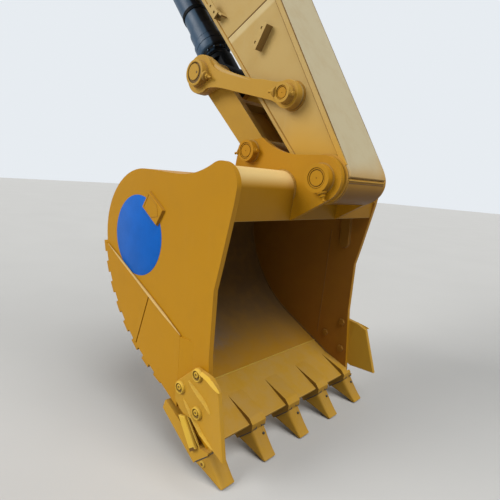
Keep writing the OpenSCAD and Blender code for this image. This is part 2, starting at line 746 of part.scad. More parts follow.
module tooth_adapters() color(yellow) difference() {
    at_lip() for (k = tooth_places) translate([0, k * tooth_pitch, 0])
        slab(-tooth_w / 2, tooth_w / 2) adapter_outline();
    at_bucket() both() slab(bucket_in, bucket_out) side_outline();
    both() at_lip() translate([-adapter_leg, bucket_in, -adapter_leg])
        cube([adapter_leg - 1, tooth_w, adapter_leg]);
    both() at_bucket() slab(bucket_out, bucket_out + tooth_w) cutter_outline();
}
tip_top = [tooth_reach, 77];
tip_low = [tooth_reach - 5, 92];
module teeth() color(yellow) at_lip() for (k = tooth_places) translate([0, k * tooth_pitch, 0])
    intersection() {
        slab(-tooth_w / 2, tooth_w / 2) polygon([
            joint_top + joint_gap, tip_top, tip_low, joint_low + joint_gap
        ]);
        translate([0, 0, -200]) linear_extrude(600) polygon([
            [-60, -tooth_w / 2], [30, -tooth_w / 2], [tooth_reach, -tooth_tip_w / 2],
            [tooth_reach, tooth_tip_w / 2], [30, tooth_w / 2], [-60, tooth_w / 2]
        ]);
    }
cutter_fold = [203, -1047];
cutter_fold_tilt = 5.4;
cutter_reach = 160;
// The strip that the cutter is cut from runs this far behind the fold, above and below it
cutter_back = 300;
cutter_span = 400;
module cutter_outline() polygon([
    [268, -858], [169, -871], [123, -912], [61, -1210], [200, -1225], [300, -1190], [395, -1010]
]);
module side_cutter() color(yellow) at_bucket() intersection() {
    slab(bucket_out, bucket_out + cutter_flare + 2 * cutter_t) cutter_outline();
    translate([cutter_fold[0], 0, cutter_fold[1]]) rotate([0, -cutter_fold_tilt, 0])
        translate([0, 0, -cutter_span]) linear_extrude(2 * cutter_span) polygon([
            [cutter_back, bucket_out], [0, bucket_out], [-cutter_reach, bucket_out + cutter_flare],
            [-cutter_reach, bucket_out + cutter_flare + cutter_t], [0, bucket_out + cutter_t],
            [cutter_back, bucket_out + cutter_t]
        ]);
}
module side_cutter_left() side_cutter();
module side_cutter_right() right() side_cutter();
// The upper edge of the wear plates, from front to rear, and the joint between the two
wear_edge = [[419, -760], [1200, -381]];
wear_joint = [[685, -660], [769, -887]];
wear_gap = 8;
module side_wear_plates() color(yellow) at_bucket() both() slab(bucket_out, bucket_out + wear_t) {
    way = unit(wear_joint[1] - wear_joint[0]);
    top = wear_joint[0] - bucket_w / 2 * way;
    foot = wear_joint[0] + bucket_w * way;
    front = [[wear_edge[0][0], top[1]], [wear_edge[0][0], foot[1]], foot, top];
    rear = [
            top + [wear_gap, 0], foot + [wear_gap, 0], [wear_edge[1][0], foot[1]],
            [wear_edge[1][0], top[1]]
        ];
    for (part = [front, rear]) intersection() {
        bucket_outline();
        polygon(part);
        polygon([
            wear_edge[0], [wear_edge[0][0], -2 * bucket_w], [wear_edge[1][0], -2 * bucket_w], wear_edge[1]
        ]);
    }
}
// Heel blocks sit round the sweep: the first one's angle, the step and how many
block_start = -13.5;
block_step = 8.2;
block_count = 8;
block_span = 4.4;
module heel_wear_blocks() color(yellow) at_bucket() both()
    slab(bucket_out - block_w, bucket_out) difference() {
        for (k = [0 : block_count - 1]) {
            a = block_start - k * block_step;
            translate(sweep_c) polygon([
                polar(sweep_r - 20, a - block_span / 2), polar(sweep_r + block_h, a - block_span / 2),
                polar(sweep_r + block_h, a + block_span / 2), polar(sweep_r - 20, a + block_span / 2)
            ]);
        }
        bucket_outline();
    }
strip_places = [-3, -1, 1, 3];
strip_w = 70;
strip_t = 20;
strip_gap = 19;
strip_pitch = (bucket_out - block_w - strip_gap - strip_w / 2) / 3;
module floor_wear_strips() color(yellow) at_bucket() for (k = strip_places)
    slab(k * strip_pitch - strip_w / 2, k * strip_pitch + strip_w / 2) difference() {
        intersection() {
            round_at(sweep_c, sweep_r + strip_t);
            polygon([sweep_c, sweep_c + polar(2 * sweep_r, -25), sweep_c + polar(2 * sweep_r, -61)]);
        }
        round_at(sweep_c, sweep_r);
    }

arm_side_left();
arm_side_right();
arm_cheek_left();
arm_cheek_right();
arm_front_plate();
arm_rear_plate();
arm_tail_plate();
arm_nose();
arm_foot_boss();
arm_guide_boss();
arm_tail_lugs();
cylinder_bracket();
cylinder_base_pin();
line_clips();
guide_link_left();
guide_link_right();
guide_pin();
rod_pin_left();
rod_pin_right();
power_link();
link_pin_core();
cylinder_barrel();
cylinder_gland();
cylinder_rod();
rod_pin_core();
bucket_side_left();
bucket_side_right();
bucket_shell();
torque_tube();
bucket_ear_left();
bucket_ear_right();
bucket_pin();
ear_pin_ends();
lip_plate();
tooth_adapters();
teeth();
side_cutter_left();
side_cutter_right();
side_wear_plates();
heel_wear_blocks();
floor_wear_strips();
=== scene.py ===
"""Looks of an excavator arm with its bucket, linkage and bucket cylinder, in metres.

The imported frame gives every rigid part. This script paints them, rounds their edges, puts
finer forms in place of the pins, the teeth, the gland and the side cutters, and adds the welds,
bolts, nipples and blank signs that the frame leaves out.
"""

import logging
import math
from collections.abc import Callable
from dataclasses import dataclass, field
from enum import Enum, IntEnum

import bmesh
import bpy
import numpy as np
from mathutils import Matrix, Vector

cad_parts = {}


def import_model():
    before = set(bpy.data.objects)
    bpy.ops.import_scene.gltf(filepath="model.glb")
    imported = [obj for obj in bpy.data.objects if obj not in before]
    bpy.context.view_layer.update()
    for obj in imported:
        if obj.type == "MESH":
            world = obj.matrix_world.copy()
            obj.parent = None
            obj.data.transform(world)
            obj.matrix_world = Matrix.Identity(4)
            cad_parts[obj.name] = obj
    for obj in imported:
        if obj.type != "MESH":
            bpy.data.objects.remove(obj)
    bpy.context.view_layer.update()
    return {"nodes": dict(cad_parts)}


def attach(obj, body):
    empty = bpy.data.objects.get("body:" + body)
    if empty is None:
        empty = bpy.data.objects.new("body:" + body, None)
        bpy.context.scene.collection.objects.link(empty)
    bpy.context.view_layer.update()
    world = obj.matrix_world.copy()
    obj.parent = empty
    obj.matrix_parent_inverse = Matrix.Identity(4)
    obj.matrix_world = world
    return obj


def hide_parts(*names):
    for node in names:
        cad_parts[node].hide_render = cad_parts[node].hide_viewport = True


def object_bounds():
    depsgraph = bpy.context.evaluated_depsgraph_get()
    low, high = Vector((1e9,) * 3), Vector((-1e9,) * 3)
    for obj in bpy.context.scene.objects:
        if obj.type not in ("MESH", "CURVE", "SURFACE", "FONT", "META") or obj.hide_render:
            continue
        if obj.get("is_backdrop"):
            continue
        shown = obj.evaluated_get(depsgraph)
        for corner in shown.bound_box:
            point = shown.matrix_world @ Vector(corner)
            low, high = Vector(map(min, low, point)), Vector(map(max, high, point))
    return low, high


LOG = logging.getLogger("excavator_arm")
Triple = tuple[float, float, float]
Colour = Triple
Span = tuple[float, float]


class Side(IntEnum):
    """The two sides of the machine, as the sign of y."""

    LEFT = 1
    RIGHT = -1

    @property
    def way(self) -> "Triple":
        """The way out from the middle plane."""
        return (0.0, float(self), 0.0)


class Ends(Enum):
    """How a weld bead ends."""

    TAPERED = "tapered"
    JOINED = "joined"


# Sizes shared with the frame


@dataclass(frozen=True)
class Layout:
    """Pivots and widths of the frame that the added pieces sit on.

    Guide, base, tail and the cheek's corners are in the hanging arm's own frame, the ear and
    the floor's point in the bucket's own frame, which starts at the bucket pivot. What ends in
    out or in is a place across the machine, from its middle plane.
    """

    arm_len: float = 3.0
    lean_deg: float = 32.5
    guide: Span = (-0.008, -2.567)
    base: Span = (0.610, -0.460)
    ear: Span = (0.431, 0.113)
    guide_len: float = 0.624
    link_len: float = 0.570
    arm_out: float = 0.160
    cover_out: float = 0.166
    ear_in: float = 0.181
    ear_out: float = 0.207
    guide_out: float = 0.216
    rod_collar_out: float = 0.260
    bucket_out: float = 0.600
    bucket_in: float = 0.575
    shell_t: float = 0.025
    floor_slope: float = 27.9
    floor_ref: Span = (0.505, -1.067)
    lip_run: float = 0.345
    lip_depth: float = 0.296
    cheek_rear: Span = (-0.2, 0.925)
    cheek_front: Span = (0.6, 0.996)

    def lean(self, point: Span) -> np.ndarray:
        """Turns a point of the hanging arm's own frame, in x and z, into the parked lean."""
        c, s = math.cos(math.radians(self.lean_deg)), math.sin(math.radians(self.lean_deg))
        return np.array([point[0] * c + point[1] * s, -point[0] * s + point[1] * c])

    @property
    def bucket_at(self) -> np.ndarray:
        """The bucket pivot."""
        return self.lean((0.0, -self.arm_len))

    @property
    def guide_at(self) -> np.ndarray:
        """The guide link pivot."""
        return self.lean(self.guide)

    @property
    def base_at(self) -> np.ndarray:
        """The base pivot of the bucket cylinder."""
        return self.lean(self.base)

    @property
    def ear_at(self) -> np.ndarray:
        """The ear pivot."""
        return self.bucket_at + np.array(self.ear)

    @property
    def rod_at(self) -> np.ndarray:
        """The rod pivot, where the guide links and the power link meet."""
        a, b = self.guide_at, self.ear_at
        d = float(np.linalg.norm(b - a))
        x = (self.guide_len**2 - self.link_len**2 + d * d) / (2 * d)
        h = math.sqrt(self.guide_len**2 - x * x)
        u = (b - a) / d
        return a + x * u + h * np.array([-u[1], u[0]])

    @property
    def cheek_slope(self) -> float:
        """Rise of the slanting joint of the arm's side for each metre forward."""
        return (self.cheek_front[1] - self.cheek_rear[1]) / (self.cheek_front[0] - self.cheek_rear[0])

    @property
    def cheek_line(self) -> Triple:
        """The slanting joint: the way across it, downwards, and its place that way."""
        across = self.lean(tuple(unit((self.cheek_slope, -1.0))))
        corner = self.lean((self.cheek_rear[0], self.cheek_rear[1] - self.arm_len))
        return float(across[0]), float(across[1]), float(across @ corner)

    @property
    def floor_dir(self) -> np.ndarray:
        """The way of the bucket's floor, from lip to heel."""
        a = math.radians(self.floor_slope)
        return np.array([math.cos(a), math.sin(a)])

    @property
    def floor_up(self) -> np.ndarray:
        """The inward normal of the floor."""
        return np.array([-self.floor_dir[1], self.floor_dir[0]])

    @property
    def lip_seam(self) -> np.ndarray:
        """The seam between lip and shell, on the outside of the floor, in the bucket's own frame."""
        return np.array(self.floor_ref) + (self.lip_depth - self.lip_run) * self.floor_dir

    @property
    def lip_line(self) -> Triple:
        """The seam of the lip: the way of the floor from it, and its place that way."""
        way = self.floor_dir
        return float(way[0]), float(way[1]), float(way @ (self.bucket_at + self.lip_seam))

    @property
    def rod_way(self) -> np.ndarray:
        """The way of the rod, from the base pivot."""
        u = unit(self.rod_at - self.base_at)
        return np.array([u[0], 0.0, u[1]])


LAY = Layout()


# Plane curves, in x and z


def arc(centre: np.ndarray, radius: float, start: float, stop: float, count: int = 24) -> np.ndarray:
    """The points centre + radius * (cos a, sin a), with a evenly between two angles in degrees."""
    a = np.radians(np.linspace(start, stop, count))
    return np.asarray(centre) + radius * np.stack([np.cos(a), np.sin(a)], 1)


def unit(v: np.ndarray) -> np.ndarray:
    """The vector scaled to length one."""
    v = np.asarray(v, float)
    return v / np.linalg.norm(v)


def touch(a: np.ndarray, ra: float, b: np.ndarray, rb: float, side: int) -> np.ndarray:
    """The straight line that touches two circles on one side.

    Args:
        a: centre of the first circle.
        ra: its radius.
        b: centre of the second circle.
        rb: its radius.
        side: 1 for the left of the way from a to b, -1 for the right.

    Returns:
        The two touching points.
    """
    a, b = np.asarray(a, float), np.asarray(b, float)
    d = b - a
    turn = math.atan2(d[1], d[0]) + side * math.acos((ra - rb) / np.linalg.norm(d))
    n = np.array([math.cos(turn), math.sin(turn)])
    return np.array([a + ra * n, b + rb * n])


def at_y(points: np.ndarray, y: float | np.ndarray) -> np.ndarray:
    """Stands rows of x and z at a place across the machine, or each at its own."""
    points = np.asarray(points, float)
    return np.stack([points[:, 0], np.broadcast_to(y, len(points)).astype(float), points[:, 1]], 1)


def stand(point: np.ndarray, y: float) -> np.ndarray:
    """One plane point at a place across the machine, as x, y and z."""
    return np.array([point[0], y, point[1]])


def spoke(degrees: float) -> np.ndarray:
    """The way (cos a, 0, sin a) from a pivot."""
    return stand((math.cos(math.radians(degrees)), math.sin(math.radians(degrees))), 0.0)


def across_line(point: np.ndarray, low: float, high: float) -> np.ndarray:
    """A straight path across the machine through one plane point."""
    return np.array([stand(point, low), stand(point, high)])


def lengths(path: np.ndarray) -> np.ndarray:
    """Length from the start of a path to each of its points."""
    return np.concatenate([[0.0], np.cumsum(np.linalg.norm(np.diff(path, axis=0), axis=1))])


def spaced(path: np.ndarray, s: np.ndarray) -> np.ndarray:
    """The points of a path at the lengths s from its start."""
    run = lengths(path)
    return np.stack([np.interp(s, run, path[:, k]) for k in range(path.shape[1])], 1)


def sections(
    line: np.ndarray, way: np.ndarray, across: np.ndarray | Triple, size: np.ndarray, sides: int
) -> np.ndarray:
    """Round sections along a line: point + size * (cos t * e1 + sin t * e2).

    Args:
        line: rows of x, y and z.
        way: the line's direction at each row.
        across: a direction that the line never follows; e1 is square to it and to the way.
        size: radius of each section.
        sides: points round each section.

    Returns:
        An array of sections by points by 3.
    """
    way = way / np.linalg.norm(way, axis=1)[:, None]
    e1 = np.cross(np.asarray(across, float), way)
    e1 /= np.linalg.norm(e1, axis=1)[:, None]
    e2 = np.cross(way, e1)
    t = np.arange(sides) * 2 * math.pi / sides
    circle = np.cos(t)[None, :, None] * e1[:, None, :] + np.sin(t)[None, :, None] * e2[:, None, :]
    return line[:, None, :] + size[:, None, None] * circle


# Surfaces that become meshes

SMOOTH = 0.5
BEAD_DARKENING = 0.25


@dataclass
class Shape:
    """Collects surfaces that become one mesh, with a darkening value at each point, for muck and painted
    shade.
    """

    points: list[np.ndarray] = field(default_factory=list)
    faces: list[list[int]] = field(default_factory=list)
    grime: list[np.ndarray] = field(default_factory=list)
    count: int = 0

    def rings(self, grid: np.ndarray, closed: bool = False, grime: float | np.ndarray = 0.0) -> None:
        """Joins closed rings into a skin: point (i, j) goes to (i + 1, j) and (i, j + 1).

        Args:
            grid: an array of rings by points by 3.
            closed: whether the last ring joins the first; otherwise both ends are capped.
            grime: darkening from muck and painted shade, for all points or one value for each ring.
        """
        rows, cols = grid.shape[:2]
        i = np.arange(rows if closed else rows - 1)[:, None]
        j = np.arange(cols)[None, :]
        a, b = i * cols + j, i * cols + (j + 1) % cols
        up = (i + 1) % rows
        c, d = up * cols + (j + 1) % cols, up * cols + j
        quads = np.stack(np.broadcast_arrays(a, b, c, d), -1).reshape(-1, 4) + self.count
        self.faces += quads.tolist()
        if not closed:
            first = np.arange(cols) + self.count
            self.faces += [first[::-1].tolist(), (first + (rows - 1) * cols).tolist()]
        self.points.append(grid.reshape(-1, 3))
        value = np.broadcast_to(np.asarray(grime, float), rows)
        self.grime.append(np.repeat(value, cols))
        self.count += rows * cols

    def turned(
        self,
        profile: np.ndarray,
        centre: np.ndarray,
        axis: np.ndarray,
        sides: int = 64,
        hexagon: bool = False,
        grime: float | np.ndarray = 0.0,
    ) -> None:
        """Turns a profile round an axis: centre + s * axis + r * (cos t * e1 + sin t * e2).

        Args:
            profile: rows of distance along the axis and radius.
            centre: a point on the axis.
            axis: direction of the axis.
            sides: points round each ring.
            hexagon: whether the radius follows a hexagon, r * cos 30 / cos(t mod 60 - 30).
            grime: darkening from muck and painted shade, for all points or one value for each row of the
                profile.
        """
        profile = np.asarray(profile, float)
        axis = unit(axis)
        helper = np.array([0.0, 0.0, 1.0]) if abs(axis[2]) < 0.9 else np.array([1.0, 0.0, 0.0])
        e1 = unit(np.cross(axis, helper))
        e2 = np.cross(axis, e1)
        t = np.arange(sides) * 2 * math.pi / sides
        lobe = math.cos(math.pi / 6) / np.cos(t % (math.pi / 3) - math.pi / 6) if hexagon else np.ones(sides)
        circle = np.cos(t)[:, None] * e1 + np.sin(t)[:, None] * e2
        radius = np.maximum(profile[:, 1], 1e-5)[:, None] * lobe[None, :]
        grid = np.asarray(centre) + profile[:, 0][:, None, None] * axis + radius[..., None] * circle
        self.rings(grid, grime=grime)

    def prism(self, outline: np.ndarray, low: float, high: float, bevel: float = 0.003) -> None:
        """A plate between two planes across the machine, its rims cut back by the bevel.

        Each corner of the rim moves by bevel * (n1 + n2) / (1 + n1.n2), with n1 and n2 the
        inward normals of its two edges.

        Args:
            outline: rows of x and z, either way round.
            low: y of one plane.
            high: y of the other.
            bevel: width of the cut rim.
        """
        low, high = sorted((low, high))
        p = np.asarray(outline, float)
        if np.cross(p, np.roll(p, -1, 0)).sum() < 0:
            p = p[::-1]
        e = np.roll(p, -1, 0) - p
        n2 = np.stack([-e[:, 1], e[:, 0]], 1) / np.linalg.norm(e, axis=1)[:, None]
        n1 = np.roll(n2, 1, 0)
        inner = p + bevel * (n1 + n2) / np.maximum(1 + (n1 * n2).sum(1), 0.3)[:, None]
        grid = np.stack([at_y(inner, low), at_y(p, low + bevel), at_y(p, high - bevel), at_y(inner, high)])
        self.rings(grid)

    def bead(
        self,
        path: np.ndarray,
        radius: float,
        across: Triple = (0.0, 1.0, 0.0),
        ends: Ends = Ends.TAPERED,
        pitch: float = 0.009,
    ) -> None:
        """A weld bead: a round section carried along a path, swelling with each ripple.

        The radius at length s is radius * (1 + 0.12 sin(2 pi s / pitch) + 0.06 sin(61 s + 1.3)),
        and falls to nothing over one radius at a tapered end.

        Args:
            path: rows of x, y and z.
            radius: radius of the bead.
            across: a direction that the path never follows.
            ends: whether the bead runs into itself.
            pitch: length of one ripple; SMOOTH stands for a plain strip.
        """
        path = np.asarray(path, float)
        if ends is Ends.JOINED:
            path = np.vstack([path, path[:1]])
        full = lengths(path)[-1]
        s = np.linspace(0, full, max(int(full / (pitch * 0.42)), 6))
        line = spaced(path, s)
        if ends is Ends.JOINED:
            line, s = line[:-1], s[:-1]
            way = np.roll(line, -1, 0) - np.roll(line, 1, 0)
        else:
            way = np.gradient(line, axis=0)
        size = radius * (1 + 0.12 * np.sin(2 * math.pi * s / pitch) + 0.06 * np.sin(s * 61.0 + 1.3))
        if ends is Ends.TAPERED:
            near = np.clip(np.minimum(s, full - s) / radius, 0.02, 1)
            size = size * np.sqrt(1 - (1 - near) ** 2)
        self.rings(sections(line, way, across, size, 8), closed=ends is Ends.JOINED, grime=BEAD_DARKENING)

    def mesh(self, name: str) -> bpy.types.Mesh:
        """Makes the mesh, with its doubles merged and its faces turned outwards.

        Args:
            name: name of the mesh.

        Returns:
            The new mesh, with its darkening at its points.
        """
        mesh = bpy.data.meshes.new(name)
        mesh.from_pydata(np.concatenate(self.points).tolist(), [], self.faces)
        layer = mesh.attributes.new("grime", "FLOAT", "POINT")
        layer.data.foreach_set("value", np.concatenate(self.grime).astype(np.float32))
        work = bmesh.new()
        work.from_mesh(mesh)
        bmesh.ops.remove_doubles(work, verts=work.verts, dist=2e-6)
        bmesh.ops.recalc_face_normals(work, faces=work.faces)
        work.to_mesh(mesh)
        work.free()
        return mesh


Reshape = Callable[[bmesh.types.BMesh], None]


def eased(node: bpy.types.Object, width: float, reshape: Reshape | None = None) -> bpy.types.Mesh:
    """A copy of a frame node's mesh with its sharp edges rounded as cut and welded plate is.

    The bevel's faces carry a value of one, for the paint to wear there and to take a painted highlight.

    Args:
        node: the frame's object.
        width: width of the rounded edge.
        reshape: a change to the copy's form, made before the edges are rounded.

    Returns:
        The new mesh.
    """
    work = bmesh.new()
    work.from_mesh(node.data)
    bmesh.ops.remove_doubles(work, verts=work.verts, dist=3e-5)
    bmesh.ops.dissolve_limit(work, angle_limit=math.radians(0.5), verts=work.verts, edges=work.edges)
    if reshape is not None:
        reshape(work)
    worn = work.faces.layers.float.new("worn")
    corner = math.radians(24)
    sharp = [e for e in work.edges if len(e.link_faces) == 2 and e.calc_face_angle(0.0) > corner]
    form = {"offset_type": "OFFSET", "segments": 2, "profile": 0.5, "clamp_overlap": True}
    made = bmesh.ops.bevel(work, geom=sharp, offset=width, affect="EDGES", **form)
    for face in made["faces"]:
        face[worn] = 1.0
    mesh = bpy.data.meshes.new(f"{node.name}_plate")
    work.to_mesh(mesh)
    work.free()
    return mesh


def cut_across(work: bmesh.types.BMesh, at: np.ndarray, way: np.ndarray) -> None:
    """Cuts new edges where a plane crosses the mesh, and takes nothing away."""
    geometry = [*work.verts, *work.edges, *work.faces]
    bmesh.ops.bisect_plane(work, geom=geometry, plane_co=at.tolist(), plane_no=way.tolist())


def face_directions(mesh: bpy.types.Mesh) -> tuple[np.ndarray, np.ndarray]:
    """Centres and normals of a mesh's faces.

    Args:
        mesh: the mesh.

    Returns:
        The centres and the normals, one face per row.
    """
    centre, normal = np.zeros(len(mesh.polygons) * 3), np.zeros(len(mesh.polygons) * 3)
    mesh.polygons.foreach_get("center", centre)
    mesh.polygons.foreach_get("normal", normal)
    return centre.reshape(-1, 3), normal.reshape(-1, 3)


def mark_faces(mesh: bpy.types.Mesh, name: str, value: np.ndarray) -> None:
    """Keeps one number for each face in the mesh, for a paint to read."""
    mesh.attributes.new(name, "FLOAT", "FACE").data.foreach_set("value", value.astype(np.float32))


def repaint(node: bpy.types.Object, paint: bpy.types.Material) -> None:
    """Gives a frame node that stays as it is one of the paints."""
    node.data.materials.clear()
    node.data.materials.append(paint)


# Shader expressions


@dataclass
class Value:
    """A shader socket that takes arithmetic and adds the Math nodes for it."""

    graph: "Graph"
    socket: bpy.types.NodeSocket

    def _math(self, operation: str, *terms: "Value | float") -> "Value":
        """Adds one Math node over the terms."""
        return self.graph.node("ShaderNodeMath", {"operation": operation}, dict(enumerate(terms)))

    def __add__(self, other: "Value | float") -> "Value":
        """This plus the other."""
        return self._math("ADD", self, other)

    def __sub__(self, other: "Value | float") -> "Value":
        """This less the other."""
        return self._math("SUBTRACT", self, other)

    def __rsub__(self, other: float) -> "Value":
        """The other less this."""
        return self._math("SUBTRACT", other, self)

    def __mul__(self, other: "Value | float") -> "Value":
        """This times the other."""
        return self._math("MULTIPLY", self, other)

    __radd__ = __add__
    __rmul__ = __mul__

    def step(self, low: float, high: float) -> "Value":
        """Rises smoothly from 0 at low to 1 at high."""
        inputs = {"Value": self, "From Min": low, "From Max": high}
        return self.graph.node("ShaderNodeMapRange", {"interpolation_type": "SMOOTHSTEP"}, inputs)


class Graph:
    """A material under construction."""

    def __init__(self, name: str) -> None:
        """Starts an empty material.

        Args:
            name: name of the material.
        """
        self.material = bpy.data.materials.new(name)
        self.material.use_nodes = True
        self.tree = self.material.node_tree
        self.tree.nodes.clear()

    def node(
        self,
        kind: str,
        settings: dict[str, object] | None = None,
        inputs: dict[int | str, object] | None = None,
        output: int | str = 0,
    ) -> Value:
        """Adds a node of any kind.

        Args:
            kind: the node's type.
            settings: its own settings, set before its sockets.
            inputs: values or links for its sockets, by name or number.
            output: the socket that is returned.

        Returns:
            The chosen output.
        """
        made = self.tree.nodes.new(kind)
        for key, value in (settings or {}).items():
            setattr(made, key, value)
        for key, value in (inputs or {}).items():
            socket = made.inputs[key]
            if isinstance(value, Value):
                self.tree.links.new(value.socket, socket)
            elif isinstance(value, tuple) and socket.type == "RGBA":
                socket.default_value = (*value, 1.0)
            else:
                socket.default_value = value
        return Value(self, made.outputs[output])

    def place(self) -> Value:
        """Object coordinates, in metres of the part's frame."""
        return self.node("ShaderNodeTexCoord", output="Object")

    def facing(self) -> Value:
        """The way that a surface faces."""
        return self.node("ShaderNodeNewGeometry", output="Normal")

    def stretched(self, where: Value, scale: Triple) -> Value:
        """Coordinates scaled along each axis."""
        return self.node("ShaderNodeVectorMath", {"operation": "MULTIPLY"}, {0: where, 1: scale})

    def noise(self, where: Value, scale: float, detail: float = 3.0, rough: float = 0.55) -> Value:
        """Cloudy noise around a half, with scale clouds for each metre and finer layers in it."""
        inputs = {"Vector": where, "Scale": scale, "Detail": detail, "Roughness": rough}
        return self.node("ShaderNodeTexNoise", {"noise_dimensions": "3D"}, inputs)

    def attribute(self, name: str) -> Value:
        """A value kept in the mesh, 0 where it has none."""
        return self.node("ShaderNodeAttribute", {"attribute_name": name}, output="Fac")

    def along(self, where: Value, way: Triple) -> Value:
        """How far a vector reaches along a way."""
        return self.node("ShaderNodeVectorMath", {"operation": "DOT_PRODUCT"}, {0: where, 1: way}, "Value")

    def beyond(self, where: Value, line: Triple) -> Value:
        """How far a place lies past a line that is given as its way in x and z and its place."""
        return self.along(where, (line[0], 0.0, line[1])) - line[2]

    def upward(self) -> Value:
        """How far a surface faces up, from -1 to 1."""
        return self.node("ShaderNodeSeparateXYZ", None, {0: self.facing()}, 2)

    def mix(self, share: Value, a: "Value | Colour", b: "Value | Colour") -> Value:
        """Colour a turning into colour b as the share rises to 1."""
        settings = {"data_type": "RGBA", "clamp_factor": True}
        return self.node("ShaderNodeMix", settings, {0: share, 6: a, 7: b}, 2)

    def bump(self, height: Value, depth: float, strength: float = 1.0) -> Value:
        """A normal bent by a height, where depth is the height of 1 in metres."""
        return self.node("ShaderNodeBump", None, {"Height": height, "Distance": depth, "Strength": strength})

    def surface(
        self, base: "Value | Colour", rough: "Value | float", bent: Value | None, **fixed: float
    ) -> bpy.types.Material:
        """Ends the material in a Principled shader.

        Args:
            base: base colour.
            rough: roughness.
            bent: normal, or nothing.
            fixed: constants for other sockets, with underscores for blanks.

        Returns:
            The material.
        """
        inputs: dict = {"Base Color": base, "Roughness": rough}
        if bent is not None:
            inputs["Normal"] = bent
        inputs.update({key.replace("_", " "): value for key, value in fixed.items()})
        shader = self.node("ShaderNodeBsdfPrincipled", None, inputs)
        end = self.tree.nodes.new("ShaderNodeOutputMaterial")
        self.tree.links.new(shader.socket, end.inputs["Surface"])
        return self.material


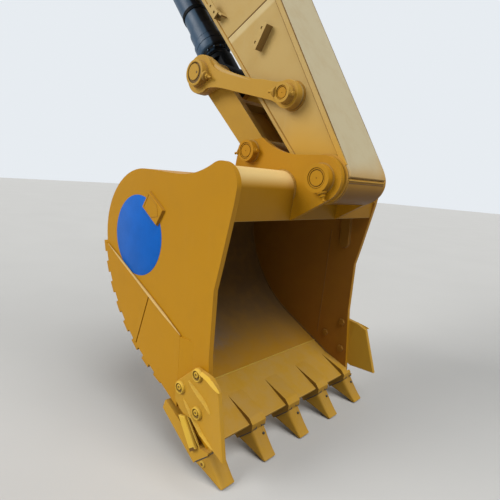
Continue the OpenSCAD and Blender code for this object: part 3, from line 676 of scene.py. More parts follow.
@dataclass(frozen=True)
class PaintFinish:
    """Sprayed machine paint with site dust, rain marks, scuffs, small chips, painted shade and highlights,
    and soil with painted shade inside.

    The colours are the fresh paint (base, deep), the dust, the dark colour (under) of painted
    shade, muck and chips, the colour inside the bucket (soil), which is partly painted shade, and
    the bright colour of edges that wear bright, which is partly a painted highlight. The sizes in
    make() are metres of the part's frame.
    """

    name: str
    base: Colour
    deep: Colour
    dust: Colour = (0.47, 0.36, 0.20)
    under: Colour = (0.13, 0.08, 0.04)
    soil: Colour = (0.085, 0.052, 0.022)
    bright: Colour = (0.62, 0.42, 0.14)
    fade: Colour | None = None
    fade_z: Span = (-2.65, -2.0)
    stripe: Triple | None = None
    dusty: float = 0.30
    streaks: float = 0.45
    top_sheen: float = 0.0
    oily: float = 0.55
    painted_shade_way: Triple = (-0.45, 0.10, -0.88)
    lip: Triple | None = None
    floor: bool = False
    deep_shade: Colour = (0.055, 0.022, 0.004)
    clay: Colour = (0.165, 0.180, 0.195)
    rough: float = 0.46
    chips: float = 0.77

    def make(self) -> bpy.types.Material:
        """Builds the material.

        The base turns into its fade colour with height, and a stripe pales the 45 mm behind a
        line as a painted highlight. Painted shade in the under colour darkens surfaces that face down
        and to the machine. Dust lies on surfaces that face up, a painted highlight in the dust colour
        lightens them further on some paints, and rain drags dust down in streaks. Edges wear bright,
        partly as a painted highlight. Soil covers the faces marked as inside, with painted shade that
        makes it darker with the depth from the lip, and on the floor it starts behind the lip and
        carries a grey smear of clay.

        Returns:
            The painted surface.
        """
        g = Graph(self.name)
        where, facing, up = g.place(), g.facing(), g.upward()
        broad, cloud = g.noise(where, 1.3, 2), g.noise(where, 11, 5, 0.62)
        fine, grit = g.noise(where, 95, 4, 0.7), g.noise(where, 420, 2)
        runs = g.noise(g.stretched(where, (34.0, 34.0, 2.4)), 1.0, 5, 0.6)
        worn, grime, inside = g.attribute("worn"), g.attribute("grime"), g.attribute("soil")

        colour = g.mix(broad.step(0.3, 0.72), self.base, self.deep)
        # Paler with height on the arm: partly dust, partly a painted sheen of the sky.
        if self.fade is not None:
            height = g.along(where, (0.0, 0.0, 1.0))
            colour = g.mix((height + (broad - 0.5) * 0.5).step(*self.fade_z), colour, self.fade)
        # Painted highlight: the pale stripe behind the cheek joint stands for a lit bevel.
        if self.stripe is not None:
            behind = g.beyond(where, self.stripe)
            band = behind.step(0.0, 0.003) * (1.0 - behind.step(0.028, 0.045))
            colour = g.mix(band * 0.7, colour, self.bright)
        colour = g.mix(cloud.step(0.42, 0.8) * 0.22, colour, tuple(0.76 * c for c in self.base))
        # Painted shade: faces that turn down and towards the machine darken to the under colour.
        painted_shade = g.along(facing, self.painted_shade_way).step(0.15, 0.95)
        colour = g.mix(painted_shade * (0.7 + 0.3 * broad) * self.oily, colour, self.under)

        film = (up.step(-0.1, 0.95) * 0.70 + 0.08) * cloud.step(0.22, 0.78) * self.dusty
        # Painted highlight: on some paints the next term lightens upward faces further, in the dust colour.
        film = film + up.step(-0.05, 0.75) * self.top_sheen
        film = film + runs.step(0.56, 0.80) * fine.step(0.25, 0.75) * (self.dusty * self.streaks)
        colour = g.mix(film, colour, self.dust)
        # Edges turn bright: partly wear, partly a painted highlight on the rounded rims.
        colour = g.mix(worn * 0.30, colour, self.bright)
        # Marked darkening, from muck and painted shade in seats and recesses, turns to the under colour.
        colour = g.mix(grime * (0.80 + 0.20 * fine), colour, self.under)

        colour, coverage = self.soiled_and_shaded(g, where, colour, inside, (broad, cloud, runs))
        chip = (fine + worn * 0.04).step(self.chips, self.chips + 0.03)
        colour = g.mix(chip * 0.70, colour, self.under)
        rough = self.rough + film * 0.4 + (cloud - 0.5) * 0.14 + grime * 0.2 + chip * 0.15 + coverage * 0.35
        dents = grit * 0.25 + g.noise(where, 3.2, 1) * 2.2 + cloud * 0.35
        bent = g.bump(dents + chip * -0.4 + coverage * fine * 0.8, 0.0011, 0.6)
        return g.surface(colour, rough, bent, Specular_IOR_Level=0.11)

    def soiled_and_shaded(
        self, g: Graph, where: Value, colour: Value, inside: Value, noises: tuple[Value, Value, Value]
    ) -> tuple[Value, Value]:
        """Lays soil and painted shade over the paint of the faces that look into the bucket.

        Args:
            g: the material under construction.
            where: coordinates.
            colour: the paint so far.
            inside: 1 on faces that look into the bucket, 0 elsewhere.
            noises: broad, cloudy and streaky noise.

        Returns:
            The colour with soil and painted shade on it, and how thickly they lie.
        """
        broad, cloud, runs = noises
        coverage = inside * (0.62 + 0.6 * (cloud * 0.6 + broad * 0.4 - 0.2)).step(0.2, 0.9)
        if self.lip is None:
            return g.mix(coverage, colour, self.soil), coverage
        # Painted shade: the inside darkens with the depth from the lip.
        depth = g.beyond(where, self.lip)
        inside_colour = g.mix(depth.step(0.40, 1.10) * 0.85, self.soil, self.deep_shade)
        if not self.floor:
            return g.mix(coverage, colour, inside_colour), coverage
        coverage = coverage * (depth + (broad - 0.5) * 0.25).step(-0.10, 0.42)
        colour = g.mix(coverage, colour, inside_colour)
        deep = depth + (cloud - 0.5) * 0.30
        left = g.along(where, (0.0, 1.0, 0.0)).step(-0.10, 0.42)
        smear = deep.step(0.14, 0.26) * (1.0 - deep.step(0.36, 0.62)) * left
        return g.mix(smear * inside * (0.40 + 0.50 * runs), colour, self.clay), coverage


@dataclass(frozen=True)
class MetalFinish:
    """Bare metal: chrome on the rod, or greasy pin steel, with scratches along one way."""

    name: str
    base: Colour
    film: Colour
    rough: float
    filmy: float

    def make(self) -> bpy.types.Material:
        """Builds the material.

        Returns:
            The metal surface.
        """
        g = Graph(self.name)
        where = g.place()
        cloud, fine = g.noise(where, 14, 4), g.noise(where, 180, 3)
        lines = g.noise(g.stretched(where, (900.0, 12.0, 900.0)), 1.0, 2)
        film = (cloud.step(0.4, 0.75) * self.filmy + g.attribute("grime")).step(0.0, 1.0)
        colour = g.mix(film, self.base, self.film)
        rough = self.rough + film * 0.35 + (lines - 0.5) * 0.12
        return g.surface(colour, rough, g.bump(fine * 0.3 + lines * 0.5, 0.0004, 0.5), Metallic=0.95)


@dataclass(frozen=True)
class GlossFinish:
    """Smooth lacquer or film with a little dust; away from its lit way it may turn to a painted shade colour.
    """

    name: str
    base: Colour
    rough: float = 0.22
    dust: Colour = (0.30, 0.29, 0.27)
    dusty: float = 0.12
    specular: float = 0.5
    painted_shade: Colour | None = None
    lit: Triple = (0.0, 0.0, 0.0)

    def make(self) -> bpy.types.Material:
        """Builds the material.

        Returns:
            The lacquered surface.
        """
        g = Graph(self.name)
        where = g.place()
        cloud, fine = g.noise(where, 12, 5, 0.6), g.noise(where, 260, 3)
        smear = g.noise(g.stretched(where, (40.0, 8.0, 5.0)), 1.0, 4)
        film = (g.upward().step(0.0, 1.0) * 0.8 + 0.25) * smear.step(0.35, 0.8) * self.dusty
        film = film + g.attribute("grime") * 0.35
        colour = g.mix(cloud.step(0.35, 0.7) * 0.35, self.base, tuple(0.7 * c for c in self.base))
        # Painted light: a lit colour on faces towards the lit way, and a painted shade colour on faces away
        # from it.
        if self.painted_shade is not None:
            toward = g.along(g.facing(), self.lit)
            colour = g.mix((toward + (cloud - 0.5) * 0.08).step(0.0, 0.16), self.painted_shade, colour)
        colour = g.mix(film, colour, self.dust)
        rough = self.rough + film * 0.8 + (cloud - 0.5) * 0.10
        bent = g.bump(fine * 0.3 + cloud, 0.0006, 0.4)
        return g.surface(colour, rough, bent, Specular_IOR_Level=self.specular)


class Paints:
    """Every finish of the object, made once."""

    lit_way: Triple = (0.726, 0.684, -0.071)

    def __init__(self) -> None:
        """Builds the materials."""
        self.bucket_paints()
        self.arm_paints()
        self.detail_paints()
        self.lacquers()

    def bucket_paints(self) -> None:
        """Paints of the bucket's walls, shell and torque tube, whose insides carry soil and painted shade."""
        wall = {"base": (0.455, 0.218, 0.006), "deep": (0.435, 0.204, 0.005), "lip": LAY.lip_line}
        # On the walls the inside colour is painted shade: dark orange paint in shadow.
        self.yellow = PaintFinish(
            "bucket_yellow", **wall, dusty=0.12, under=(0.10, 0.050, 0.016), soil=(0.270, 0.105, 0.018)
        ).make()
        self.shell = PaintFinish(
            "shell_yellow", **wall, dusty=0.15, soil=(0.185, 0.110, 0.045), floor=True
        ).make()
        # The torque tube's light dust colour is a painted highlight on its upper faces, and its dark under
        # colour is painted shade on its lower ones.
        self.tube = PaintFinish(
            "tube_yellow", (0.410, 0.200, 0.008), (0.400, 0.190, 0.006), dusty=0.1, top_sheen=1.0, oily=1.0,
            dust=(0.720, 0.520, 0.215), under=(0.060, 0.020, 0.001), soil=(0.10, 0.045, 0.01),
        ).make()

    def arm_paints(self) -> None:
        """Paints of the arm and the links, which pale towards the top, partly for dust and partly as a
        painted sheen of the sky.
        """
        plate = {
            "base": (0.560, 0.304, 0.028), "deep": (0.540, 0.288, 0.024), "dust": (0.52, 0.45, 0.27),
            "under": (0.10, 0.050, 0.016), "oily": 0.85,
            "fade": (0.470, 0.322, 0.110), "fade_z": (-2.48, -2.08),
        }
        self.arm = PaintFinish("arm_yellow", **plate).make()
        # The cheek's stripe is a painted highlight along the slanting joint.
        self.cheek = PaintFinish(
            "cheek_yellow", **plate, stripe=LAY.cheek_line, bright=(0.62, 0.50, 0.26)
        ).make()
        # The nose takes full painted shade on faces that turn down and towards the machine.
        self.nose = PaintFinish(
            "nose_yellow", (0.500, 0.262, 0.034), (0.480, 0.246, 0.030), dusty=0.1, oily=1.0,
            under=(0.090, 0.034, 0.002),
        ).make()
        self.pale = PaintFinish(
            "arm_yellow_dusted", (0.490, 0.270, 0.050), (0.470, 0.255, 0.045), dust=(0.55, 0.50, 0.38),
            rough=0.5, fade=(0.530, 0.455, 0.285), fade_z=(-2.565, -2.43),
        ).make()
        self.link = PaintFinish("link_yellow", (0.470, 0.270, 0.038), (0.450, 0.248, 0.026)).make()
        # The tan paint is a painted highlight on the guide links' bands.
        self.tan = PaintFinish("tan_yellow", (0.530, 0.355, 0.125), (0.510, 0.335, 0.110), dusty=0.2).make()

    def detail_paints(self) -> None:
        """Paints of the cutting edge, the castings, the welds and the small forms. The rib paint is a
        painted highlight on ribs, rails, cups and the lip weld, the palest paint a painted highlight on
        bevelled edges, and the inner paint and the darkest paint are painted shade.
        """
        edge = {"base": (0.500, 0.275, 0.024), "deep": (0.470, 0.250, 0.020), "under": (0.10, 0.055, 0.02)}
        self.edge = PaintFinish("edge_yellow", **edge, rough=0.52).make()
        self.cast = PaintFinish("cast_yellow", **edge, rough=0.56, oily=0.8, chips=0.72).make()
        for field_name, name, base, deep, more in (
            ("rib", "rib_yellow", (0.680, 0.430, 0.045), (0.640, 0.400, 0.040), {}),
            ("bare", "scuffed_yellow", (0.780, 0.520, 0.180), (0.720, 0.470, 0.150), {"oily": 0.2}),
            ("weld", "weld_yellow", (0.440, 0.226, 0.018), (0.410, 0.204, 0.014), {"rough": 0.40}),
            ("inner", "inner_yellow", (0.300, 0.140, 0.018), (0.260, 0.115, 0.014), {"dusty": 0.1}),
            ("stain", "stained_yellow", (0.180, 0.085, 0.014), (0.130, 0.060, 0.010), {"dusty": 0.1}),
        ):
            setattr(self, field_name, PaintFinish(name, base, deep, **more).make())

    def lacquers(self) -> None:
        """Lacquers, film and unpainted metal. The cylinder is painted lit on the side away from the machine
        and painted dark on the side towards it, for shade and the dark reflection of the machine.
        """
        lit = unit(np.array(self.lit_way) - LAY.rod_way * float(LAY.rod_way @ self.lit_way))
        self.lacquer = GlossFinish(
            "cylinder_lacquer", (0.038, 0.078, 0.135), rough=0.38, dusty=0.03, specular=0.2,
            painted_shade=(0.004, 0.005, 0.009), lit=tuple(lit),
        ).make()
        self.black = GlossFinish(
            "black_lacquer", (0.002, 0.003, 0.004), rough=0.55, dusty=0.0, specular=0.06
        ).make()
        self.dark = GlossFinish("shadow_gap", (0.012, 0.009, 0.006), rough=0.75, dusty=0.3).make()
        self.disc = GlossFinish(
            "blue_film", (0.001, 0.110, 0.490), rough=0.34, dust=(0.06, 0.22, 0.50), dusty=0.04, specular=0.12
        ).make()
        grease = (0.20, 0.16, 0.10)
        self.chrome = MetalFinish("rod_hard_chrome", (0.62, 0.63, 0.65), grease, 0.09, 0.25).make()
        self.pin = MetalFinish("greased_pin", (0.40, 0.36, 0.31), (0.06, 0.045, 0.03), 0.36, 0.7).make()
        self.zinc = MetalFinish("zinc_fitting", (0.56, 0.50, 0.36), grease, 0.30, 0.5).make()


# Small hardware


@dataclass(frozen=True)
class Hardware:
    """Bolts, nuts, nipples and pin ends, added to a shape that is being built.

    A profile's rows are distance along the axis and radius. Darkening on seats, grooves and recesses is
    painted shade.
    """

    shape: Shape
    nipple_foot_r: float = 0.011

    def nut(self, at: np.ndarray, axis: np.ndarray, across: float, height: float) -> None:
        """A chamfered hexagon nut with its stud sunk in the middle.

        Args:
            at: the middle of its seat.
            axis: the way it stands out.
            across: its size over the corners.
            height: its height.
        """
        r = across / 2
        profile = [
            [-0.004, r], [0.0, r], [0.88 * height, r], [0.96 * height, r * 0.93], [height, r * 0.84],
            [height, r * 0.50], [0.78 * height, r * 0.47], [0.70 * height, r * 0.20],
        ]
        self.shape.turned(profile, at, axis, 48, hexagon=True, grime=[0, 0.1, 0, 0, 0, 0.2, 0.9, 0.9])

    def bolt(self, at: np.ndarray, axis: np.ndarray, across: float, height: float) -> None:
        """A hexagon bolt head with a rounded top edge.

        Args:
            at: the middle of its seat.
            axis: the way it stands out.
            across: its size over the corners.
            height: its height.
        """
        r = across / 2
        profile = [
            [-0.003, r], [0.0, r], [0.84 * height, r],
            [0.95 * height, r * 0.95], [height, r * 0.82], [height, 0.0],
        ]
        self.shape.turned(profile, at, axis, 48, hexagon=True, grime=[0.4, 0.2, 0, 0, 0, 0])

    def nipple(self, at: np.ndarray, axis: np.ndarray, size: float = 0.011) -> None:
        """A grease nipple: a hexagon foot, a waist and a ball end on a weld pad.

        Args:
            at: the middle of its seat.
            axis: the way it stands out.
            size: radius of the hexagon foot, which scales the rest.
        """
        k = size / self.nipple_foot_r
        pad = np.array([[-0.004, 0.0187], [0.003, 0.0176], [0.0055, 0.0127]])
        foot = np.array([[0.003, 0.011], [0.014, 0.011], [0.016, 0.0088]])
        ball = np.array([
            [0.014, 0.0062], [0.020, 0.0056], [0.023, 0.0040], [0.025, 0.0038],
            [0.028, 0.0053], [0.031, 0.0050], [0.033, 0.0030],
        ])
        self.shape.turned(pad * k, at, axis, 32, grime=0.2)
        self.shape.turned(foot * k, at, axis, 24, hexagon=True)
        self.shape.turned(ball * k, at, axis, 24)

    def lock(self, at: np.ndarray, axis: np.ndarray, radius: float, height: float) -> None:
        """A round boss with a bolt head in it, which locks a pin in its collar.

        Args:
            at: the middle of its seat.
            axis: the way it stands out.
            radius: radius of the boss.
            height: height of the boss.
        """
        boss = [[-0.010, radius], [height * 0.55, radius], [height * 0.62, radius - 0.002]]
        self.shape.turned(boss, at, axis, 36, grime=[0.6, 0.1, 0.0])
        self.bolt(np.asarray(at) + unit(axis) * height * 0.6, axis, radius * 1.45, height * 0.42)

    def pin(self, at: np.ndarray, radius: float, low: float, high: float) -> None:
        """A pin across the machine, with a ring groove and a centre dimple in each end.

        Args:
            at: x and z of the pin.
            radius: radius of the pin.
            low: y of its lower end.
            high: y of its higher end.
        """
        end = np.array([
            [-0.005, 0.0], [0.0, 0.07], [0.0, 0.74], [-0.004, 0.76], [-0.004, 0.82],
            [0.0, 0.84], [0.0, 0.94], [-0.004, 0.95], [-0.004, 1.0],
        ]) * np.array([1.0, radius])
        # The dark rings in the pin ends are partly grease and partly painted shade.
        darkening = np.array([0.9, 0.0, 0.0, 0.9, 0.9, 0.0, 0.0, 0.9, 0.9])
        near = end * np.array([-1.0, 1.0]) + np.array([low, 0.0])
        far = end[::-1] + np.array([high, 0.0])
        grime = np.concatenate([darkening, darkening[::-1]])
        self.shape.turned(np.vstack([near, far]), stand(at, 0.0), (0, 1, 0), 72, grime=grime)


# What the sub-assemblies share


@dataclass
class SubAssembly:
    """A part of the machine, with the body that its pieces ride on and their usual slot."""

    paints: Paints
    nodes: dict[str, bpy.types.Object]
    body: str = ""
    slot: str = "yellow_paint"

    def hand_over(
        self,
        mesh: bpy.types.Mesh,
        name: str,
        paint: bpy.types.Material,
        replaces: tuple[str, ...],
        body: str,
        slot: str,
        smooth: float,
    ) -> bpy.types.Object:
        """Shades a mesh, paints it and hands it to the frame.

        Args:
            mesh: the finished mesh, in the part's frame.
            name: name of the piece.
            paint: its material.
            replaces: frame nodes that it stands for.
            body: the body that it rides on, or nothing for the sub-assembly's own.
            slot: the record's slot for its finish, or nothing for the sub-assembly's own; not used.
            smooth: angle in degrees up to which its shading runs on.

        Returns:
            The new object.
        """
        mesh.polygons.foreach_set("use_smooth", np.ones(len(mesh.polygons), bool))
        mesh.set_sharp_from_angle(angle=math.radians(smooth))
        mesh.materials.clear()
        mesh.materials.append(paint)
        piece = bpy.data.objects.new(name, mesh)
        bpy.context.scene.collection.objects.link(piece)
        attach(piece, body or self.body)
        if replaces:
            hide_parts(*replaces)
        slot or self.slot
        triangles = sum(len(p.vertices) - 2 for p in mesh.polygons)
        LOG.info("%s on %s: %d triangles", name, body or self.body, triangles)
        return piece

    def plate(
        self,
        name: str,
        width: float,
        paint: bpy.types.Material,
        body: str = "",
        smooth: float = 14.0,
        reshape: Reshape | None = None,
    ) -> bpy.types.Object:
        """Replaces a frame node by a copy whose edges are rounded by the width."""
        mesh = eased(self.nodes[name], width, reshape)
        return self.hand_over(mesh, mesh.name, paint, (name,), body, "", smooth)

    def add(
        self,
        shape: Shape,
        name: str,
        paint: bpy.types.Material,
        *replaces: str,
        body: str = "",
        slot: str = "",
        smooth: float = 32.0,
    ) -> bpy.types.Object:
        """Hands over a shape that is complete."""
        return self.hand_over(shape.mesh(name), name, paint, replaces, body, slot, smooth)


# The arm


@dataclass
class Arm(SubAssembly):
    """The box arm with its covers, bosses, lugs, clips and the welds between them.

    Points are in the hanging arm's own frame, with the boom pivot at zero.
    """

    body: str = "arm"
    slot: str = "arm_paint"
    nose_r: float = 0.104
    foot_r: float = 0.190
    rear_round_r: float = 0.1122
    front_nose: Span = (0.077, -3.0)
    front_deep: Span = (0.456, -0.400)
    tail_front: Span = (0.420, 0.500)
    tail_rear: Span = (0.225, 0.540)
    front_plate_t: float = 0.016
    joint_x: Span = (-0.134, 0.216)
    joint_lift: float = 0.0025
    strip_out: float = 0.0145
    strip_in: float = 0.014
    clip_bar: tuple[Span, Span] = ((-0.817, -1.671), (-0.892, -1.726))
    clip_bar_half: float = 0.004
    clip_bar_out: float = 0.040
    guide_ring_r: float = 0.0635
    foot_ring_r: float = 0.1065
    bracket_reach: Span = (0.165, 0.200)
    bracket_lug_y: Span = (0.065, 0.105)
    tail_lug_y: Span = (0.063, 0.113)
    seam_r: float = 0.0045
    ring_seam_r: float = 0.0055
    lug_seam_r: float = 0.006
    foot_face: float = 0.1745
    base_pin_r: float = 0.040
    base_pin_half: float = 0.117

    def build(self) -> None:
        """Rounds and paints the plates, then adds welds and hardware."""
        looks = (
            (("arm_side_left", "arm_side_right"), 0.0020, self.paints.arm),
            (("arm_cheek_left", "arm_cheek_right"), 0.0020, self.paints.cheek),
            (("arm_front_plate", "arm_tail_plate"), 0.0022, self.paints.arm),
            (("arm_rear_plate",), 0.0022, self.paints.pale),
            (("arm_nose",), 0.0035, self.paints.nose),
            (("arm_foot_boss", "arm_guide_boss"), 0.0035, self.paints.arm),
            (("arm_tail_lugs", "cylinder_bracket"), 0.0035, self.paints.arm),
            (("line_clips",), 0.0014, self.paints.arm),
        )
        for names, width, paint in looks:
            for name in names:
                self.plate(name, width, paint)
        self.welds()
        self.hardware()

    def line(self, a: Span, b: Span, y: float) -> np.ndarray:
        """A straight path at y between two points of the arm's own frame."""
        return at_y(np.array([LAY.lean(a), LAY.lean(b)]), y)

    def welds(self) -> None:
        """The long seams, the slanting cheek joint, the corner strips and the boss rings."""
        seams, strips, gaps = Shape(), Shape(), Shape()
        for side in Side:
            self.cheek_joint(gaps, side)
            self.corner_strip(strips, gaps, side)
            self.side_seams(seams, side)
            self.lug_welds(seams, side)
            self.small_bar(strips, side)
        self.nose_seam(strips, gaps)
        self.add(seams, "arm_welds", self.paints.weld)
        self.add(strips, "arm_corner_strips", self.paints.arm)
        self.add(gaps, "arm_seam_shadows", self.paints.stain)

    def cheek_joint(self, gaps: Shape, side: Side) -> None:
        """The dark line of painted shade in the slanting joint between side plate and cheek.

        Args:
            gaps: the shape that takes it.
            side: the side of the machine.
        """
        ends = []
        for x in self.joint_x:
            rise = (x - LAY.cheek_rear[0]) * LAY.cheek_slope
            ends.append((x, -LAY.arm_len + LAY.cheek_rear[1] + rise + self.joint_lift))
        gaps.bead(self.line(*ends, side * (LAY.arm_out - 0.0018)), 0.0034, pitch=SMOOTH)

    def corner_strip(self, strips: Shape, gaps: Shape, side: Side) -> None:
        """The strip along the rear corner of the side plates, with a dark line of painted shade at each edge.

        Args:
            strips: the shape that takes the strip.
            gaps: the shape that takes the lines.
            side: the side of the machine.
        """
        rear = touch((0.0, -LAY.arm_len), self.nose_r, (0.0, 0.0), self.foot_r, 1)
        out, run = unit(rear[0] - (0.0, -LAY.arm_len)), unit(rear[1] - rear[0])
        low_end, high_end = rear[0] + 0.004 * run, rear[1] - 0.02 * run
        band = [
            low_end + self.strip_out * out, low_end - self.strip_in * out,
            high_end - self.strip_in * out, high_end + self.strip_out * out,
        ]
        band = np.array([LAY.lean(corner) for corner in band])
        strips.prism(band, side * (LAY.arm_out - 0.002), side * (LAY.cover_out + 0.0025), 0.004)
        for shift, face in ((self.strip_out + 0.0005, LAY.cover_out), (-self.strip_in - 0.0015, LAY.arm_out)):
            edge = self.line(low_end + shift * out, high_end + shift * out, side * (face + 0.0005))
            gaps.bead(edge, 0.0020, pitch=SMOOTH)

    def side_seams(self, seams: Shape, side: Side) -> None:
        """The seams along the front corner and round the two pivot bosses.

        Args:
            seams: the shape that takes them.
            side: the side of the machine.
        """
        y = side * (LAY.arm_out + 0.0005)
        nose = np.array(self.front_nose) + 0.10 * unit(np.subtract(self.front_deep, self.front_nose))
        front = [nose, self.front_deep, self.tail_front]
        for a, b in zip(front[:-1], front[1:]):
            seams.bead(self.line(a, b, y), self.seam_r)
        for at, r in ((LAY.guide, self.guide_ring_r), ((0.0, 0.0), self.foot_ring_r)):
            ring = arc(LAY.lean(at), r, 0, 356, 90)
            seams.bead(at_y(ring, y), self.ring_seam_r, ends=Ends.JOINED)

    def small_bar(self, strips: Shape, side: Side) -> None:
        """The short bar that stands on the side plate beside the upper clip.

        Args:
            strips: the shape that takes it.
            side: the side of the machine.
        """
        a, b = np.array(self.clip_bar)
        way = b - a
        n = self.clip_bar_half * unit(np.array([way[1], -way[0]]))
        bar = np.array([a + n, a - n, b - n, b + n])
        foot, top = LAY.arm_out - 0.001, LAY.arm_out + self.clip_bar_out
        strips.prism(bar, side * foot, side * top, 0.0015)

    def nose_seam(self, strips: Shape, gaps: Shape) -> None:
        """The bead and the dark line of painted shade across the nose, where the rear plate meets it.

        Args:
            strips: the shape that takes the bead.
            gaps: the shape that takes the line.
        """
        y = LAY.cover_out - 0.002
        for drop, r, shape in ((0.0610, 0.0045, strips), (0.0695, 0.0022, gaps)):
            back = math.sqrt(self.rear_round_r**2 - drop**2)
            spot = LAY.lean((-back, -LAY.arm_len - drop))
            shape.bead(across_line(spot, -y, y), r, across=(1, 0, 0))

    def lug_welds(self, seams: Shape, side: Side) -> None:
        """Fillets at the feet of the bracket lugs and the tail lugs.

        Args:
            seams: the shape that takes them.
            side: the side of the machine.
        """
        front_dir = unit(np.subtract(self.front_deep, self.front_nose))
        upper_dir = unit(np.subtract(self.tail_front, self.front_deep))
        n1 = np.array([front_dir[1], -front_dir[0]])
        n2 = np.array([upper_dir[1], -upper_dir[0]])
        bend = np.array(self.front_deep) + self.front_plate_t * (n1 + n2) / (1 + n1 @ n2)
        down, up = self.bracket_reach
        for y in self.bracket_lug_y:
            for end in (bend - down * front_dir, bend + up * upper_dir):
                seams.bead(self.line(bend, end, side * y), self.lug_seam_r)
        crown = touch((0.0, 0.0), self.foot_r, self.tail_rear, 0.0, 1)
        top = 0.020 + self.front_plate_t * unit(crown[0])[1]
        a = (self.tail_rear[0] + 0.012, self.tail_rear[1] + top)
        b = (self.tail_front[0] + 0.002, self.tail_front[1] + 0.022)
        for y in self.tail_lug_y:
            seams.bead(self.line(a, b, side * y), self.lug_seam_r)

    def hardware(self) -> None:
        """Grease nipples at the boom pivot, and the base pin of the cylinder."""
        steel, pin = Shape(), Shape()
        for side in Side:
            at = 0.085 * spoke(200.0) + (0.0, side * self.foot_face, 0.0)
            Hardware(steel).nipple(at, side.way)
        self.add(steel, "arm_nipples", self.paints.zinc, slot="pin_steel")
        half = self.base_pin_half
        Hardware(pin).pin(LAY.base_at, self.base_pin_r, -half, half)
        flange = [[0.1052, 0.046], [0.1052, 0.054], [0.1145, 0.054], [half, 0.0515], [half, 0.041]]
        for side in Side:
            pin.turned(flange, stand(LAY.base_at, 0.0), side.way, 72)
        self.add(pin, "cylinder_base_pin_turned", self.paints.yellow, "cylinder_base_pin", slot="pin_steel")


# The linkage


